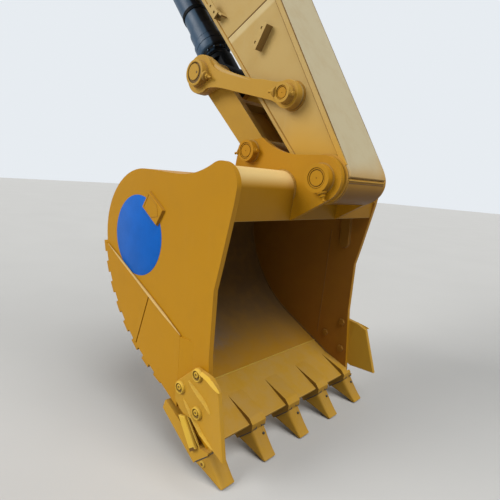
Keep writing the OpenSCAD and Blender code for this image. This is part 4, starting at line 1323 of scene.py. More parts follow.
@dataclass
class Linkage(SubAssembly):
    """Guide links, power link and the pins with their nipples and lock bolts.

    Along a guide link's bar, places run from the rod pin to the guide pin, and heights up
    across it.
    """

    body: str = "guide_links"
    guide_pin_r: float = 0.032
    guide_pin_half: float = 0.2495
    rod_pin_r: float = 0.045
    rod_pin_y: Span = (0.065, 0.2535)
    guide_collar_r: float = 0.044
    rod_collar_r: float = 0.068
    rod_bore_r: float = 0.054
    head_pad_t: float = 0.016
    head_r: float = 0.102
    hollow_t: Span = (0.05, 0.46)
    hollow_deep: float = 0.026
    hollow_cuts: int = 16
    hollow_over: float = 0.03
    flank_drop: float = 0.042
    flank_run: float = 0.42
    web_run: Span = (0.232, 0.508)
    web_half: float = 0.016
    web_end: float = 0.1095

    def build(self) -> None:
        """Builds every piece of the linkage."""
        for name in ("guide_link_left", "guide_link_right"):
            self.plate(name, 0.0035, self.paints.link, reshape=self.hollowed)
        self.plate("power_link", 0.0045, self.paints.link, body="power_link")
        repaint(self.nodes["link_pin_core"], self.paints.pin)
        self.pins()
        self.hardware()
        self.web_welds()
        self.bands()

    def pins(self) -> None:
        """The guide pin and the two rod pins, painted over at their ends as on the machine."""
        near, far = self.rod_pin_y
        for name, at, r, low, high in (
            ("guide_pin", LAY.guide_at, self.guide_pin_r, -self.guide_pin_half, self.guide_pin_half),
            ("rod_pin_left", LAY.rod_at, self.rod_pin_r, near, far),
            ("rod_pin_right", LAY.rod_at, self.rod_pin_r, -far, -near),
        ):
            shape = Shape()
            Hardware(shape).pin(at, r, low, high)
            self.add(shape, f"{name}_turned", self.paints.yellow, name, slot="pin_steel")

    def hardware(self) -> None:
        """Nipples and lock bolts round the collars, and the weld rings at the collars' feet."""
        small, rings = Shape(), Shape()
        parts = Hardware(small)
        for side in Side:
            for at, r, nipple, lock, boss, foot in (
                (LAY.guide_at, self.guide_collar_r, 8.0, 186.0, (0.015, 0.020), 0.0),
                (LAY.rod_at, self.rod_collar_r, 196.0, 196.0, (0.014, 0.016), self.head_pad_t),
            ):
                seat = stand(at, side * (LAY.guide_out + 0.020 + foot / 2))
                way, lock_way = spoke(nipple), spoke(lock)
                parts.lock(seat + (r - 0.006) * lock_way, lock_way, *boss)
                parts.nipple(seat + (0.0, side * 0.006, 0.0) + (r + 0.55 * foot) * way, way, 0.015)
                ring = at_y(arc(at, r + 0.001, 0, 356, 72), side * (LAY.guide_out + foot + 0.001))
                rings.bead(ring, 0.0045, ends=Ends.JOINED)
            self.rod_collar(small, side)
            self.head_slope(small, side)
        self.add(small, "guide_link_fittings", self.paints.link)
        self.add(rings, "guide_link_welds", self.paints.weld)

    @property
    def bar_up(self) -> tuple[np.ndarray, np.ndarray]:
        """Way of the guide link's bar from the rod pin, and the way up across it."""
        bar = unit(LAY.guide_at - LAY.rod_at)
        return bar, np.array([bar[1], -bar[0]])

    def on_bar(self, run: float, height: float) -> np.ndarray:
        """The plane point at a place along the bar and a height across it."""
        bar, up = self.bar_up
        return LAY.rod_at + bar * run + up * height

    def section(self, side: Side, run: float, heights: Span, lifts: Span) -> np.ndarray:
        """Foot and face of a strip on the link's face: at the first height, then at the second."""
        (a, c), (base, face) = (self.on_bar(run, h) for h in heights), (LAY.guide_out + y for y in lifts)
        return at_y(np.array([a, a, c, c]), side * np.array([base, face, face, base]))

    def hollow(self, t: np.ndarray) -> np.ndarray:
        """The hollow's depth at t from the rod pin: hollow_deep * sin(pi * share^0.6) of its length."""
        start, stop = self.hollow_t
        return self.hollow_deep * np.sin(math.pi * np.clip((t - start) / (stop - start), 0.0, 1.0) ** 0.6)

    def hollowed(self, work: bmesh.types.BMesh) -> None:
        """Hollows the upper flank of a guide link's bar, which runs straight in the frame.

        The flank is cut across in hollow_cuts places, and what lies more than hollow_over above
        the bar's middle, clear of the head, moves down by the hollow's depth.

        Args:
            work: the copy of the link.
        """
        bar, up = self.bar_up
        centre, way = stand(LAY.rod_at, 0.0), stand(bar, 0.0)
        start, stop = self.hollow_t
        for t in np.linspace(start + 0.012, stop - 0.008, self.hollow_cuts):
            cut_across(work, centre + way * t, way)
        for vert in work.verts:
            off = np.array([vert.co.x, vert.co.z]) - LAY.rod_at
            t, h = float(off @ bar), float(off @ up)
            if start < t < stop and h > self.hollow_over and math.hypot(t, h) > self.head_r + 0.0002:
                move = up * -float(self.hollow(np.array(t)))
                vert.co.x += float(move[0])
                vert.co.z += float(move[1])

    def rod_collar(self, shape: Shape, side: Side) -> None:
        """The wide open collar round a rod pin, with the offset disc and the dimple inside it.

        Args:
            shape: the shape that takes it.
            side: the side of the machine.
        """
        top, seat = LAY.guide_out + self.head_pad_t, LAY.rod_collar_out
        centre, r, b, rim = stand(LAY.rod_at, 0.0), self.rod_collar_r, self.rod_bore_r, seat + 0.010
        collar = [
            [top - 0.002, r], [rim - 0.004, r], [rim - 0.001, r - 0.001], [rim, r - 0.004],
            [rim, b + 0.003], [rim - 0.002, b], [seat + 0.0007, b], [seat + 0.0005, 0.0],
        ]
        # The dark bore and the dark rim round the offset disc are painted shade in the collar.
        shape.turned(collar, centre, side.way, 96, grime=[0.3, 0, 0, 0, 0, 0.1, 0.95, 0.95])
        face, spot = seat + 0.006, centre + (0.0085, 0.0, 0.0060)
        disc = [[face - 0.006, 0.0435], [face - 0.002, 0.0435], [face, 0.0410], [face, 0.0]]
        shape.turned(disc, spot, side.way, 64, grime=[0.9, 0.2, 0, 0])
        dimple = [[face - 0.001, 0.007], [face + 0.0003, 0.0065], [face + 0.0003, 0.0]]
        shape.turned(dimple, spot + (-0.026, 0, -0.004), side.way, 24, grime=1.0)

    def head_slope(self, shape: Shape, side: Side) -> None:
        """The slope from a guide link's head down to its bar.

        Args:
            shape: the shape that takes it.
            side: the side of the machine.
        """
        stations = np.array([
            # run along the bar, height above it, height below it, lift off its face
            [self.head_r - 0.040, 0.070, 0.0700, 0.0155],
            [self.head_r - 0.018, 0.058, 0.0600, 0.0155],
            [0.110, 0.047, 0.0520, 0.0150],
            [0.140, 0.039, 0.0460, 0.0125],
            [0.175, 0.034, 0.0425, 0.0095],
            [0.220, 0.031, 0.0415, 0.0065],
            [0.290, 0.028, 0.0415, 0.0036],
            [0.360, 0.026, 0.0415, 0.0017],
            [0.430, 0.026, 0.0415, 0.0006],
            [0.490, 0.026, 0.0415, 0.0001],
        ])
        rows = [self.section(side, run, (a, -b), (-0.004, lift)) for run, a, b, lift in stations]
        shape.rings(np.array(rows))

    def bands(self) -> None:
        """The pale band on each guide link between its slope and the hollowed flank, a painted highlight."""
        band = Shape()
        t = np.linspace(0.090, 0.400, 24)
        tilt = math.asin((self.head_r - self.flank_drop) / self.flank_run)
        flank = (self.head_r - t * math.sin(tilt)) / math.cos(tilt) - self.hollow(t)
        low = np.interp(t, (0.09, 0.14, 0.22, 0.40), (0.054, 0.037, 0.029, 0.024))
        high = low + (flank - 0.0045 - low) * np.clip((0.405 - t) / 0.13, 0.0, 1.0)
        stations = list(zip(t, zip(low, np.maximum(high, low + 0.001))))
        for side in Side:
            rows = [self.section(side, run, pair, (-0.002, 0.0006)) for run, pair in stations]
            band.rings(np.array(rows))
        self.add(band, "guide_link_bands", self.paints.tan)

    def web_welds(self) -> None:
        """Fillets along the web between the two arms of the power link."""
        web = Shape()
        u = unit(LAY.ear_at - LAY.rod_at)
        n = np.array([-u[1], u[0]])
        for side in Side:
            for sign in (-1, 1):
                ends = np.array([LAY.rod_at + u * run + n * sign * self.web_half for run in self.web_run])
                web.bead(at_y(ends, side * self.web_end), 0.0065)
        self.add(web, "power_link_welds", self.paints.weld, body="power_link")


# The bucket cylinder


@dataclass
class BucketCylinder(SubAssembly):
    """Barrel with its base eye and ports, gland with its bolts, and the chromed rod.

    Places along the cylinder run from its base pivot, and those in the gland's profile from
    the gland's rear end.
    """

    body: str = "cylinder_barrel"
    slot: str = "cylinder_paint"
    barrel_r: float = 0.079
    gland_gap: float = 0.220
    gland_len: float = 0.190
    gland_r: float = 0.099
    collar_step: float = 0.009
    wiper_r: float = 0.072
    wiper_len: float = 0.016
    rod_r: float = 0.046
    bolt_count: int = 12
    bolt_circle_r: float = 0.0805
    chrome_len: float = 1.15
    port_at: Span = (0.175, 1.262)
    port_tall: Span = (0.030, 0.026)
    port_sink: float = 0.012
    pipe_r: float = 0.011
    pipe_off: float = 0.030
    saddle_at: tuple[float, ...] = (0.42, 0.78, 1.12)

    @property
    def gland_end(self) -> float:
        """Distance from the base pivot to the bolted face of the gland."""
        return float(np.linalg.norm(LAY.rod_at - LAY.base_at)) - self.gland_gap

    def along(self, distance: float) -> np.ndarray:
        """The point of the cylinder's axis at a distance from the base pivot."""
        return stand(LAY.base_at, 0.0) + LAY.rod_way * distance

    def build(self) -> None:
        """Builds the cylinder."""
        self.plate("cylinder_barrel", 0.003, self.paints.lacquer, smooth=20)
        self.plate("cylinder_rod", 0.003, self.paints.black, body="cylinder_rod", smooth=20)
        repaint(self.nodes["rod_pin_core"], self.paints.pin)
        self.gland()
        self.chrome()
        self.ports()

    def gland(self) -> None:
        """The gland: a slim collar, a band groove, a thick head, a bolt circle and a wiper."""
        shape, end = Shape(), self.gland_len
        r, c, w, tip = self.gland_r, self.gland_r - self.collar_step, self.wiper_r, end + self.wiper_len
        bore = self.rod_r + 0.0003
        collar = [[0.000, bore], [0.000, c - 0.002], [0.002, c], [0.085, c], [0.088, c - 0.002]]
        groove = [[0.0885, c - 0.004], [0.0935, c - 0.004], [0.094, r - 0.003], [0.097, r]]
        head = [
            [end - 0.058, r], [end - 0.057, r - 0.0025], [end - 0.054, r - 0.0025], [end - 0.053, r],
            [end - 0.010, r], [end - 0.008, r - 0.001], [end - 0.001, r - 0.008], [end, r - 0.010],
        ]
        wiper = [
            [end, w + 0.002], [end + 0.001, w], [end + 0.013, w], [tip, w - 0.004],
            [tip, bore + 0.004], [end + 0.012, bore],
        ]
        profile = np.array(collar + groove + head + wiper)
        darkening = np.zeros(len(profile))
        # The darkening in the groove, at the wiper's foot and in its mouth is painted shade.
        darkening[[5, 6, 17, 21, 22]] = 0.8  # in the groove, at the wiper's foot and in its mouth
        shape.turned(profile, self.along(self.gland_end - end), LAY.rod_way, 96, grime=darkening)
        e1 = np.array([0.0, 1.0, 0.0])
        e2 = np.cross(LAY.rod_way, e1)
        bolt = [
            [-0.002, 0.0072], [0.009, 0.0072], [0.0105, 0.006],
            [0.0105, 0.0038], [0.006, 0.0036], [0.006, 0.0],
        ]
        for k in range(self.bolt_count):
            a = 2 * math.pi * (k + 0.5) / self.bolt_count
            spot = self.along(self.gland_end) + self.bolt_circle_r * (math.cos(a) * e1 + math.sin(a) * e2)
            shape.turned(bolt, spot, LAY.rod_way, 24, grime=[0, 0, 0, 0.3, 0.9, 0.9])
        self.add(shape, "cylinder_gland_turned", self.paints.lacquer, "cylinder_gland")

    def chrome(self) -> None:
        """A thin chromed sleeve over the unpainted length of the rod."""
        shape, r = Shape(), self.rod_r + 0.00012
        tip = self.gland_end + self.wiper_len - 0.003
        start = tip - self.chrome_len
        sleeve = [[start, r - 0.004], [start + 0.004, r], [tip - 0.002, r], [tip, r - 0.002]]
        shape.turned(sleeve, self.along(0.0), LAY.rod_way, 96)
        self.add(shape, "rod_chrome_sleeve", self.paints.chrome, body="cylinder_rod", slot="rod_chrome")

    def ports(self) -> None:
        """The two oil ports, the steel pipe along the barrel's right side and its saddles."""
        shape, way, out = Shape(), LAY.rod_way, self.barrel_r
        off = np.array([-way[2], 0.0, way[0]])
        up = unit(off * math.copysign(0.35, off[2]) - (0.0, 0.94, 0.0))
        for distance, tall in zip(self.port_at, self.port_tall):
            top = self.port_sink + tall
            seat = self.along(distance) + up * (out - self.port_sink)
            block = [[0.0, 0.024], [top - 0.003, 0.024], [top, 0.021], [top, 0.0]]
            shape.turned(block, seat, up, 40, grime=[0.6, 0.0, 0.0, 0.0])
            Hardware(shape).nut(seat + up * top, up, 0.036, 0.014)
        pipe_out = out + self.pipe_off
        bends = (
            # distance along the cylinder, rise over the pipe's straight run
            (self.port_at[1], 0.000), (1.235, 0.006), (1.200, 0.000),
            (0.300, 0.000), (0.262, 0.008), (0.235, 0.012),
        )
        path = np.array([self.along(distance) + up * (pipe_out + rise) for distance, rise in bends])
        self.tube(shape, path, self.pipe_r, off)
        Hardware(shape).nut(path[-1] + way * 0.012, -way, 0.034, 0.026)
        ring = [[-0.013, out + 0.0005], [-0.012, out + 0.004], [0.012, out + 0.004], [0.013, out + 0.0005]]
        saddle = [[-0.016, 0.010], [-0.016, 0.019], [0.016, 0.019], [0.016, 0.010]]
        for distance in self.saddle_at:
            seat = self.along(distance)
            shape.turned(ring, seat, way, 72)
            shape.turned(saddle, seat + up * pipe_out, way, 32)
            Hardware(shape).bolt(seat + up * (pipe_out + 0.016), up, 0.017, 0.008)
        self.add(shape, "cylinder_pipe", self.paints.black)

    def tube(self, shape: Shape, path: np.ndarray, radius: float, across: np.ndarray) -> None:
        """A smooth round tube along a path, whose bends are rounded by a running mean.

        Args:
            shape: the shape that takes it.
            path: rows of x, y and z.
            radius: radius of the tube.
            across: a direction that the path never follows.
        """
        steps, window = 160, 7
        line = spaced(path, np.linspace(0, lengths(path)[-1], steps))
        padded = np.vstack([np.repeat(line[:1], window // 2, 0), line, np.repeat(line[-1:], window // 2, 0)])
        kernel = np.ones(window) / window
        line = np.stack([np.convolve(padded[:, k], kernel, "valid") for k in range(3)], 1)
        shape.rings(sections(line, np.gradient(line, axis=0), across, np.full(steps, radius), 20))


# The bucket


@dataclass
class Bucket(SubAssembly):
    """Side plates, rolled shell, torque tube, ears, pins and the marks on the sides.

    Points are in the bucket's own frame, which starts at the bucket pivot.
    """

    body: str = "bucket"
    heel_r: float = 0.345
    heel: Span = (0.772, -0.354)
    sweep_r: float = 0.800
    roof_low: Span = (0.520, -0.022)
    tube: Span = (0.218, -0.057)
    tube_r: float = 0.083
    tube_foot: Span = (0.150, -0.144)
    middle: Span = (0.52, -0.50)
    roof_seam: Span = (0.434, -0.0205)
    pin_half: float = 0.2445
    bucket_pin_r: float = 0.045
    ear_pin_r: float = 0.040
    disc_at: Span = (0.808, -0.345)
    disc_r: float = 0.205
    sign: tuple[Span, ...] = ((0.705, -0.118), (0.584, -0.197), (0.636, -0.274), (0.757, -0.195))
    sign_t: float = 0.014
    sign_rim: float = 0.84
    brace_top: tuple[Span, Span] = ((0.336, -0.205), (0.268, -0.205))
    brace_round: Span = (0.300, -0.372)
    brace_r: float = 0.034
    brace_t: float = 0.016
    wall_seam: tuple[Span, ...] = ((0.405, -0.30), (0.420, -0.677), (0.436, -1.005))

    def at(self, points: np.ndarray) -> np.ndarray:
        """Moves points of the bucket's own frame to the part's frame."""
        return np.asarray(points, float) + LAY.bucket_at

    @property
    def sweep(self) -> np.ndarray:
        """Centre of the curve that leads from the heel to the floor."""
        foot = np.array(LAY.floor_ref) + self.sweep_r * LAY.floor_up
        rel = foot - np.array(self.heel)
        b = rel @ LAY.floor_dir
        along = -b - math.sqrt(b * b - rel @ rel + (self.sweep_r - self.heel_r) ** 2)
        return foot + along * LAY.floor_dir

    def profile(self, inset: float) -> np.ndarray:
        """Side view of the shell from the torque tube round the heel to the lip.

        Args:
            inset: distance inwards from the outside of the shell.

        Returns:
            Rows of x and z in the bucket's own frame.
        """
        heel, sweep = np.array(self.heel), self.sweep
        roof = touch(self.roof_low, 0.0, heel, self.heel_r, 1)
        top = math.degrees(math.atan2(*(roof[1] - heel)[::-1]))
        turn = math.degrees(math.atan2(*(heel - sweep)[::-1]))
        down = math.degrees(math.atan2(*(-LAY.floor_up)[::-1]))
        lip = np.array(LAY.floor_ref) - LAY.lip_run * LAY.floor_dir
        return np.vstack([
            roof[:1] - inset * unit(roof[1] - heel),
            arc(heel, self.heel_r - inset, top, turn, 40),
            arc(sweep, self.sweep_r - inset, turn, down, 30),
            (lip + inset * LAY.floor_up)[None],
        ])

    def build(self) -> None:
        """Builds the bucket's body."""
        for name, paint in (
            ("bucket_side_left", self.paints.yellow),
            ("bucket_side_right", self.paints.yellow),
            ("bucket_shell", self.paints.shell),
            ("torque_tube", self.paints.tube),
        ):
            self.soiled_and_shaded(self.plate(name, 0.0028, paint, smooth=12))
        for name in ("bucket_ear_left", "bucket_ear_right"):
            self.plate(name, 0.0030, self.paints.yellow)
        self.pins()
        self.welds()
        self.marks()
        self.inside()

    def soiled_and_shaded(self, piece: bpy.types.Object) -> None:
        """Marks the faces that look into the bucket, for soil and painted shade.

        A face of a side plate looks in when its normal points to the middle plane. Any other
        does when its normal points to the middle of the hollow and it lies between the sides.

        Args:
            piece: a rounded copy of a bucket plate.
        """
        centre, normal = face_directions(piece.data)
        if piece.name.startswith("bucket_side"):
            # The inner faces of the side plates take the inside colour, which there is painted shade.
            value = np.where(normal[:, 1] * np.sign(centre[:, 1]) < -0.9, 0.80, 0.0)
        else:
            way = stand(self.at(self.middle), 0.0) - centre
            facing = (way[:, 0] * normal[:, 0] + way[:, 2] * normal[:, 2]) / np.hypot(way[:, 0], way[:, 2])
            near = np.abs(centre[:, 1]) < LAY.bucket_in - 0.002
            value = np.where((facing > 0.25) & near, 1.0, 0.0)
        mark_faces(piece.data, "soil", value)

    def pins(self) -> None:
        """The bucket pin, the ends of the ear pin, and their nipples and lock bolts."""
        pin, ends, small, rings = Shape(), Shape(), Shape(), Shape()
        parts = Hardware(small)
        Hardware(pin).pin(LAY.bucket_at, self.bucket_pin_r, -self.pin_half, self.pin_half)
        for side in Side:
            low, high = sorted((side * LAY.ear_in, side * self.pin_half))
            Hardware(ends).pin(LAY.ear_at, self.ear_pin_r, low, high)
            for at, r, nipple, lift, lock, boss in (
                (LAY.bucket_at, 0.063, -112.0, 0.004, -112.0, (0.014, 0.014)),
                (LAY.ear_at, 0.052, -8.0, 0.0, 178.0, (0.015, 0.020)),
            ):
                seat = stand(at, side * (LAY.ear_out + 0.022))
                parts.nipple(seat + (r + lift) * spoke(nipple), spoke(nipple), 0.013)
                parts.lock(seat + (r - 0.006) * spoke(lock), spoke(lock), *boss)
                ring = at_y(arc(at, r + 0.001, 0, 356, 72), side * (LAY.ear_out + 0.001))
                rings.bead(ring, 0.005, ends=Ends.JOINED)
        self.add(pin, "bucket_pin_turned", self.paints.yellow, "bucket_pin", slot="pin_steel")
        self.add(ends, "ear_pin_turned", self.paints.yellow, "ear_pin_ends", slot="pin_steel")
        self.add(small, "ear_fittings", self.paints.yellow)
        self.add(rings, "ear_collar_welds", self.paints.weld)

    def welds(self) -> None:
        """Seams between side plates, shell, torque tube, ears and lip."""
        seams, stained, pale = Shape(), Shape(), Shape()
        inner = self.at(self.profile(LAY.shell_t))
        around = self.at(np.vstack([arc(self.tube, self.tube_r, 75, 215, 40), [self.tube_foot]]))
        for side in Side:
            stained.bead(at_y(inner, side * (LAY.bucket_in - 0.001)), 0.0065)
            for y in (LAY.bucket_in - 0.001, LAY.ear_out + 0.001, LAY.ear_in - 0.001):
                seams.bead(at_y(around, side * y), 0.0070)
        roof = self.at(self.roof_seam)
        for side in Side:
            line = across_line(roof, side * (LAY.ear_out + 0.004), side * LAY.bucket_in)
            seams.bead(line, 0.005, across=(0, 0, 1))
        seams.bead(across_line(roof, -LAY.ear_in, LAY.ear_in), 0.005, across=(0, 0, 1))
        lip = self.at(LAY.lip_seam + (LAY.shell_t + 0.0005) * LAY.floor_up)
        pale.bead(across_line(lip, -LAY.bucket_in, LAY.bucket_in), 0.0042, across=(0, 0, 1))
        self.add(seams, "bucket_welds", self.paints.weld)
        # The lip weld takes the bright rib paint, a painted highlight.
        self.add(pale, "lip_weld", self.paints.rib)
        # The inner corner seams take the darkest paint, painted shade in the corners.
        self.add(stained, "shell_corner_welds", self.paints.stain)

    def marks(self) -> None:
        """A blank blue film disc and a blank raised sign plate on each side."""
        film, plates = Shape(), Shape()
        corners = self.at(np.array(self.sign))
        centre = corners.mean(0)
        inner = centre + (corners - centre) * self.sign_rim
        r = self.disc_r
        skin = [[-0.0002, r], [0.0009, r], [0.0012, r - 0.0006], [0.0012, 0.001]]
        for side in Side:
            y = side * LAY.bucket_out
            film.turned(skin, stand(self.at(self.disc_at), y), side.way, 128)
            plates.prism(corners, y, y + side * self.sign_t, 0.0025)
            rim = at_y(inner, y + side * (self.sign_t - 0.0002))
            plates.bead(rim, 0.0022, ends=Ends.JOINED, pitch=SMOOTH)
            plates.bead(at_y(corners, y + side * 0.001), 0.004, ends=Ends.JOINED)
        self.add(film, "blue_disc", self.paints.disc)
        self.add(plates, "blank_sign_plates", self.paints.yellow)

    def inside(self) -> None:
        """Round-ended braces under the torque tube and the seam down each inner wall."""
        shape = Shape()
        pad = self.at(np.vstack([self.brace_top, arc(self.brace_round, self.brace_r, 180, 360, 16)]))
        ring = np.vstack([pad[:1] + [[0.0, 0.006]], pad[1:]])
        for side in Side:
            wall = side * LAY.bucket_in
            shape.prism(pad, wall, wall - side * self.brace_t, 0.003)
            shape.bead(at_y(ring, wall - side * 0.001), 0.0045, ends=Ends.JOINED)
            shape.bead(at_y(self.at(self.wall_seam), wall), 0.0026)
        # The braces and the wall seams take the dark inner paint, painted shade inside the bucket.
        self.add(shape, "inner_braces", self.paints.inner)


# The cutting edge


@dataclass
class CuttingEdge(SubAssembly):
    """Lip, cast adapters and teeth, side cutters with their nuts, and the wear plates.

    The lip's frame runs forward along the floor, across, and down, from the inner edge of the
    lip's front. Side cutters and wear plates are in the bucket's own frame.
    """

    body: str = "bucket"
    pitch: float = 0.285
    places: tuple[int, ...] = (-2, -1, 0, 1, 2)
    tooth_w: float = 0.100
    tip_w: float = 0.080
    reach: float = 0.163
    joint_top: Span = (0.027, 0.016)
    joint_low: Span = (-0.016, 0.134)
    joint_gap: float = 0.0022
    tip_top: float = 0.077
    tip_low: float = 0.092
    tongue: float = 0.014
    tongue_half: float = 0.20
    square: float = 0.40
    pin_hole_u: float = 0.058
    pin_hole_y: float = -0.018
    pin_hole_r: float = 0.0065
    line_r: float = 0.0026
    under_lip: tuple[Span, Span] = ((-0.311, 0.051), (-0.050, 0.051))
    rail: tuple[Span, ...] = ((-0.200, 0.012), (-0.166, -0.018), (-0.034, 0.046), (-0.052, 0.088))
    pocket: tuple[Span, ...] = ((-0.034, 0.050), (-0.050, 0.086), (-0.062, 0.078), (-0.047, 0.044))
    rail_crest: tuple[Span, Span] = ((-0.180, -0.030), (-0.020, 0.036))
    boss: Span = (0.026, 0.082)
    fold: Span = (0.203, -1.047)
    fold_tilt: float = 5.4
    flare: float = 0.036 / 0.160
    cutter_t: float = 0.025
    cutter_form: tuple[Span, ...] = (
        (0.276, -0.860), (0.169, -0.874), (0.110, -0.906), (0.036, -1.176), (0.110, -1.170),
        (0.182, -1.166), (0.286, -1.113), (0.360, -1.108), (0.416, -1.066), (0.414, -0.978),
    )
    cutter_bolts: tuple[Span, ...] = ((0.259, -0.887), (0.373, -0.990), (0.249, -1.062))
    rib_rise: float = 0.0160
    wear_t: float = 0.010
    wear_top: tuple[Span, Span] = ((0.421, -0.7595), (1.095, -0.4325))
    wear_front_x: float = 0.4205
    wear_front_z: Span = (-0.764, -1.062)
    wear_slope: float = 0.110

    def at_lip(self, points: np.ndarray) -> np.ndarray:
        """Moves points of the lip's frame, forward and down, to the part's frame.

        Args:
            points: an array whose last axis is forward, across and down.

        Returns:
            The points as x, y and z.
        """
        points = np.asarray(points, float)
        ahead, down = -LAY.floor_dir, -LAY.floor_up
        start = LAY.bucket_at + LAY.floor_ref + LAY.lip_run * ahead - LAY.shell_t * down
        u, y, w = points[..., 0], points[..., 1], points[..., 2]
        return np.stack([start[0] + u * ahead[0] + w * down[0], y, start[1] + u * ahead[1] + w * down[1]], -1)

    def build(self) -> None:
        """Builds the cutting edge."""
        self.plate("lip_plate", 0.0030, self.paints.edge)
        self.shaded(self.plate("tooth_adapters", 0.0045, self.paints.cast))
        for name in ("side_wear_plates", "heel_wear_blocks", "floor_wear_strips"):
            self.plate(name, 0.0020, self.paints.yellow)
        self.teeth()
        self.adapter_welds()
        self.corner_rails()
        self.cutter_plates()
        self.cutters()
        self.wear_edges()

    def shaded(self, piece: bpy.types.Object) -> None:
        """Marks the flanks of the adapters between the corners with painted shade.

        Args:
            piece: the rounded copy of the adapters.
        """
        centre, normal = face_directions(piece.data)
        flank = (np.abs(normal[:, 1]) > 0.8) & (np.abs(centre[:, 1]) < 2 * self.pitch)
        mark_faces(piece.data, "grime", np.where(flank, 0.7, 0.0))

    def teeth(self) -> None:
        """Cast teeth with their pin holes and the dark lines at their stepped joints."""
        shape, holes, joints = Shape(), Shape(), Shape()
        u, y, z, grime = self.tooth_grid()
        for k in self.places:
            middle = k * self.pitch
            shape.rings(self.at_lip(np.stack([u, y + middle, z], -1)), grime=grime)
            self.tooth_hole(holes, middle)
            self.tooth_joint(joints, middle)
        self.add(shape, "cast_teeth", self.paints.cast, "teeth", smooth=40)
        self.add(holes, "tooth_pin_holes", self.paints.dark, slot="pin_steel")
        self.add(joints, "tooth_joint_lines", self.paints.dark)

    def tooth_grid(self) -> tuple[np.ndarray, np.ndarray, np.ndarray, np.ndarray]:
        """A tooth's skin: a rounded section that narrows from the stepped joint to the tip.

        The section at s is mid + half * (|cos t|^square, |sin t|^square) with signs kept, and
        its start steps back by the tongue in the middle of the width.

        Returns:
            Places forward, across and down, and the darkening of each section, strongest at the joint.
        """
        t = np.linspace(0, 2 * math.pi, 72, endpoint=False) + 0.02
        cy = np.sign(np.cos(t)) * np.abs(np.cos(t)) ** self.square
        cz = np.sign(np.sin(t)) * np.abs(np.sin(t)) ** self.square
        s = np.array([0.0, 0.02, 0.10, 0.25, 0.40, 0.55, 0.70, 0.82, 0.92, 0.97, 1.0])[:, None]
        first, last = s < 0.01, s > 0.99
        top, low = self.joint_top, self.joint_low
        share = (1 + cz) / 2
        start = low[0] + self.joint_gap + (top[0] - low[0]) * (1 - share)
        start = (start - self.tongue * (np.abs(cy) < 0.42) * (np.abs(cz) > 0.9))[None, :]
        u = start + (self.reach - 0.005 * share[None, :] - start) * s
        z_top = top[1] + (self.tip_top - top[1]) * (1 - (1 - s) ** 1.15)
        z_low = low[1] + (self.tip_low - low[1]) * s**0.92
        wide = (self.tooth_w + (self.tip_w - self.tooth_w) * s**0.8) / 2
        wide = wide * np.where(first, 0.96, 1.0) * np.where(last, 0.95, 1.0)
        z = (z_top + z_low) / 2 + (z_low - z_top) / 2 * cz[None, :] * np.where(last, 0.75, 1.0)
        return u, wide * cy[None, :], z, np.linspace(0.35, 0.0, len(s))

    def tooth_hole(self, holes: Shape, middle: float) -> None:
        """The dark hole of the tooth's pin, in its top face.

        Args:
            holes: the shape that takes it.
            middle: y of the tooth's middle.
        """
        down = self.joint_top[1] + (self.tip_top - self.joint_top[1]) * 0.26
        seat = self.at_lip([self.pin_hole_u, middle + self.pin_hole_y, down])
        above = self.at_lip([self.pin_hole_u, middle + self.pin_hole_y, down - 1.0])
        hole = [[-0.004, self.pin_hole_r], [0.0022, self.pin_hole_r], [0.0022, 0.0]]
        holes.turned(hole, seat, above - seat, 24)

    def tooth_joint(self, joints: Shape, middle: float) -> None:
        """The stepped dark line over a tooth's joint and the straight ones down its flanks.

        Args:
            joints: the shape that takes them.
            middle: y of the tooth's middle.
        """
        top, low = self.joint_top, self.joint_low
        back, half = -self.tongue, self.tongue_half
        steps = ((0.0, -0.46), (0.0, -half), (back, -half), (back, half), (0.0, half), (0.0, 0.46))
        u, w = top[0] + 0.001, top[1] - 0.0024
        over = [[u + d, middle + share * self.tooth_w, w + 0.80 * d] for d, share in steps]
        joints.bead(self.at_lip(over), self.line_r, across=(0.47, 0, -0.88), pitch=SMOOTH)
        for sign in (-1, 1):
            y = middle + sign * (self.tooth_w / 2 - 0.0008)
            flank = [[top[0] + 0.001, y, top[1] + 0.004], [low[0] + 0.001, y, low[1] - 0.004]]
            joints.bead(self.at_lip(flank), self.line_r, pitch=SMOOTH)

    def adapter_welds(self) -> None:
        """Fillets where the adapters' lower legs lie under the lip."""
        seams = Shape()
        for k in self.places:
            for sign in (-1, 1):
                y = k * self.pitch + sign * (self.tooth_w / 2 + 0.001)
                if abs(y) <= LAY.bucket_in - 0.004:
                    seams.bead(self.at_lip(at_y(self.under_lip, y)), 0.0060, across=(0.3, 0, 1))
        self.add(seams, "adapter_welds", self.paints.edge)

    def corner_rails(self) -> None:
        """The raised rail with its pocket on each corner adapter's outer cheek, and a tooth boss."""
        rails, holes = Shape(), Shape()
        for side in Side:
            y = side * (2 * self.pitch + self.tooth_w / 2)
            for shape, form, low, high, cut in (
                (rails, self.rail, -0.002, 0.017, 0.004),
                (holes, self.pocket, 0.014, 0.0176, 0.0005),
            ):
                flat = self.at_lip(at_y(form, 0.0))[:, [0, 2]]
                shape.prism(flat, y + side * low, y + side * high, cut)
            rails.bead(self.at_lip(at_y(self.rail_crest, y + side * 0.001)), 0.005, pitch=SMOOTH)
            boss = self.at_lip([self.boss[0], y, self.boss[1]])
            rim = [[-0.004, 0.016], [0.002, 0.015], [0.004, 0.012]]
            rails.turned(rim, boss, side.way, 40, grime=[0.6, 0.3, 0.3])
            holes.turned([[0.0, 0.008], [0.0046, 0.008], [0.0046, 0.0]], boss, side.way, 24)
        # The rails take the bright rib paint, a painted highlight.
        self.add(rails, "corner_adapter_rails", self.paints.rib)
        # The pockets take the darkest paint, painted shade in the recesses.
        self.add(holes, "corner_adapter_pockets", self.paints.stain)

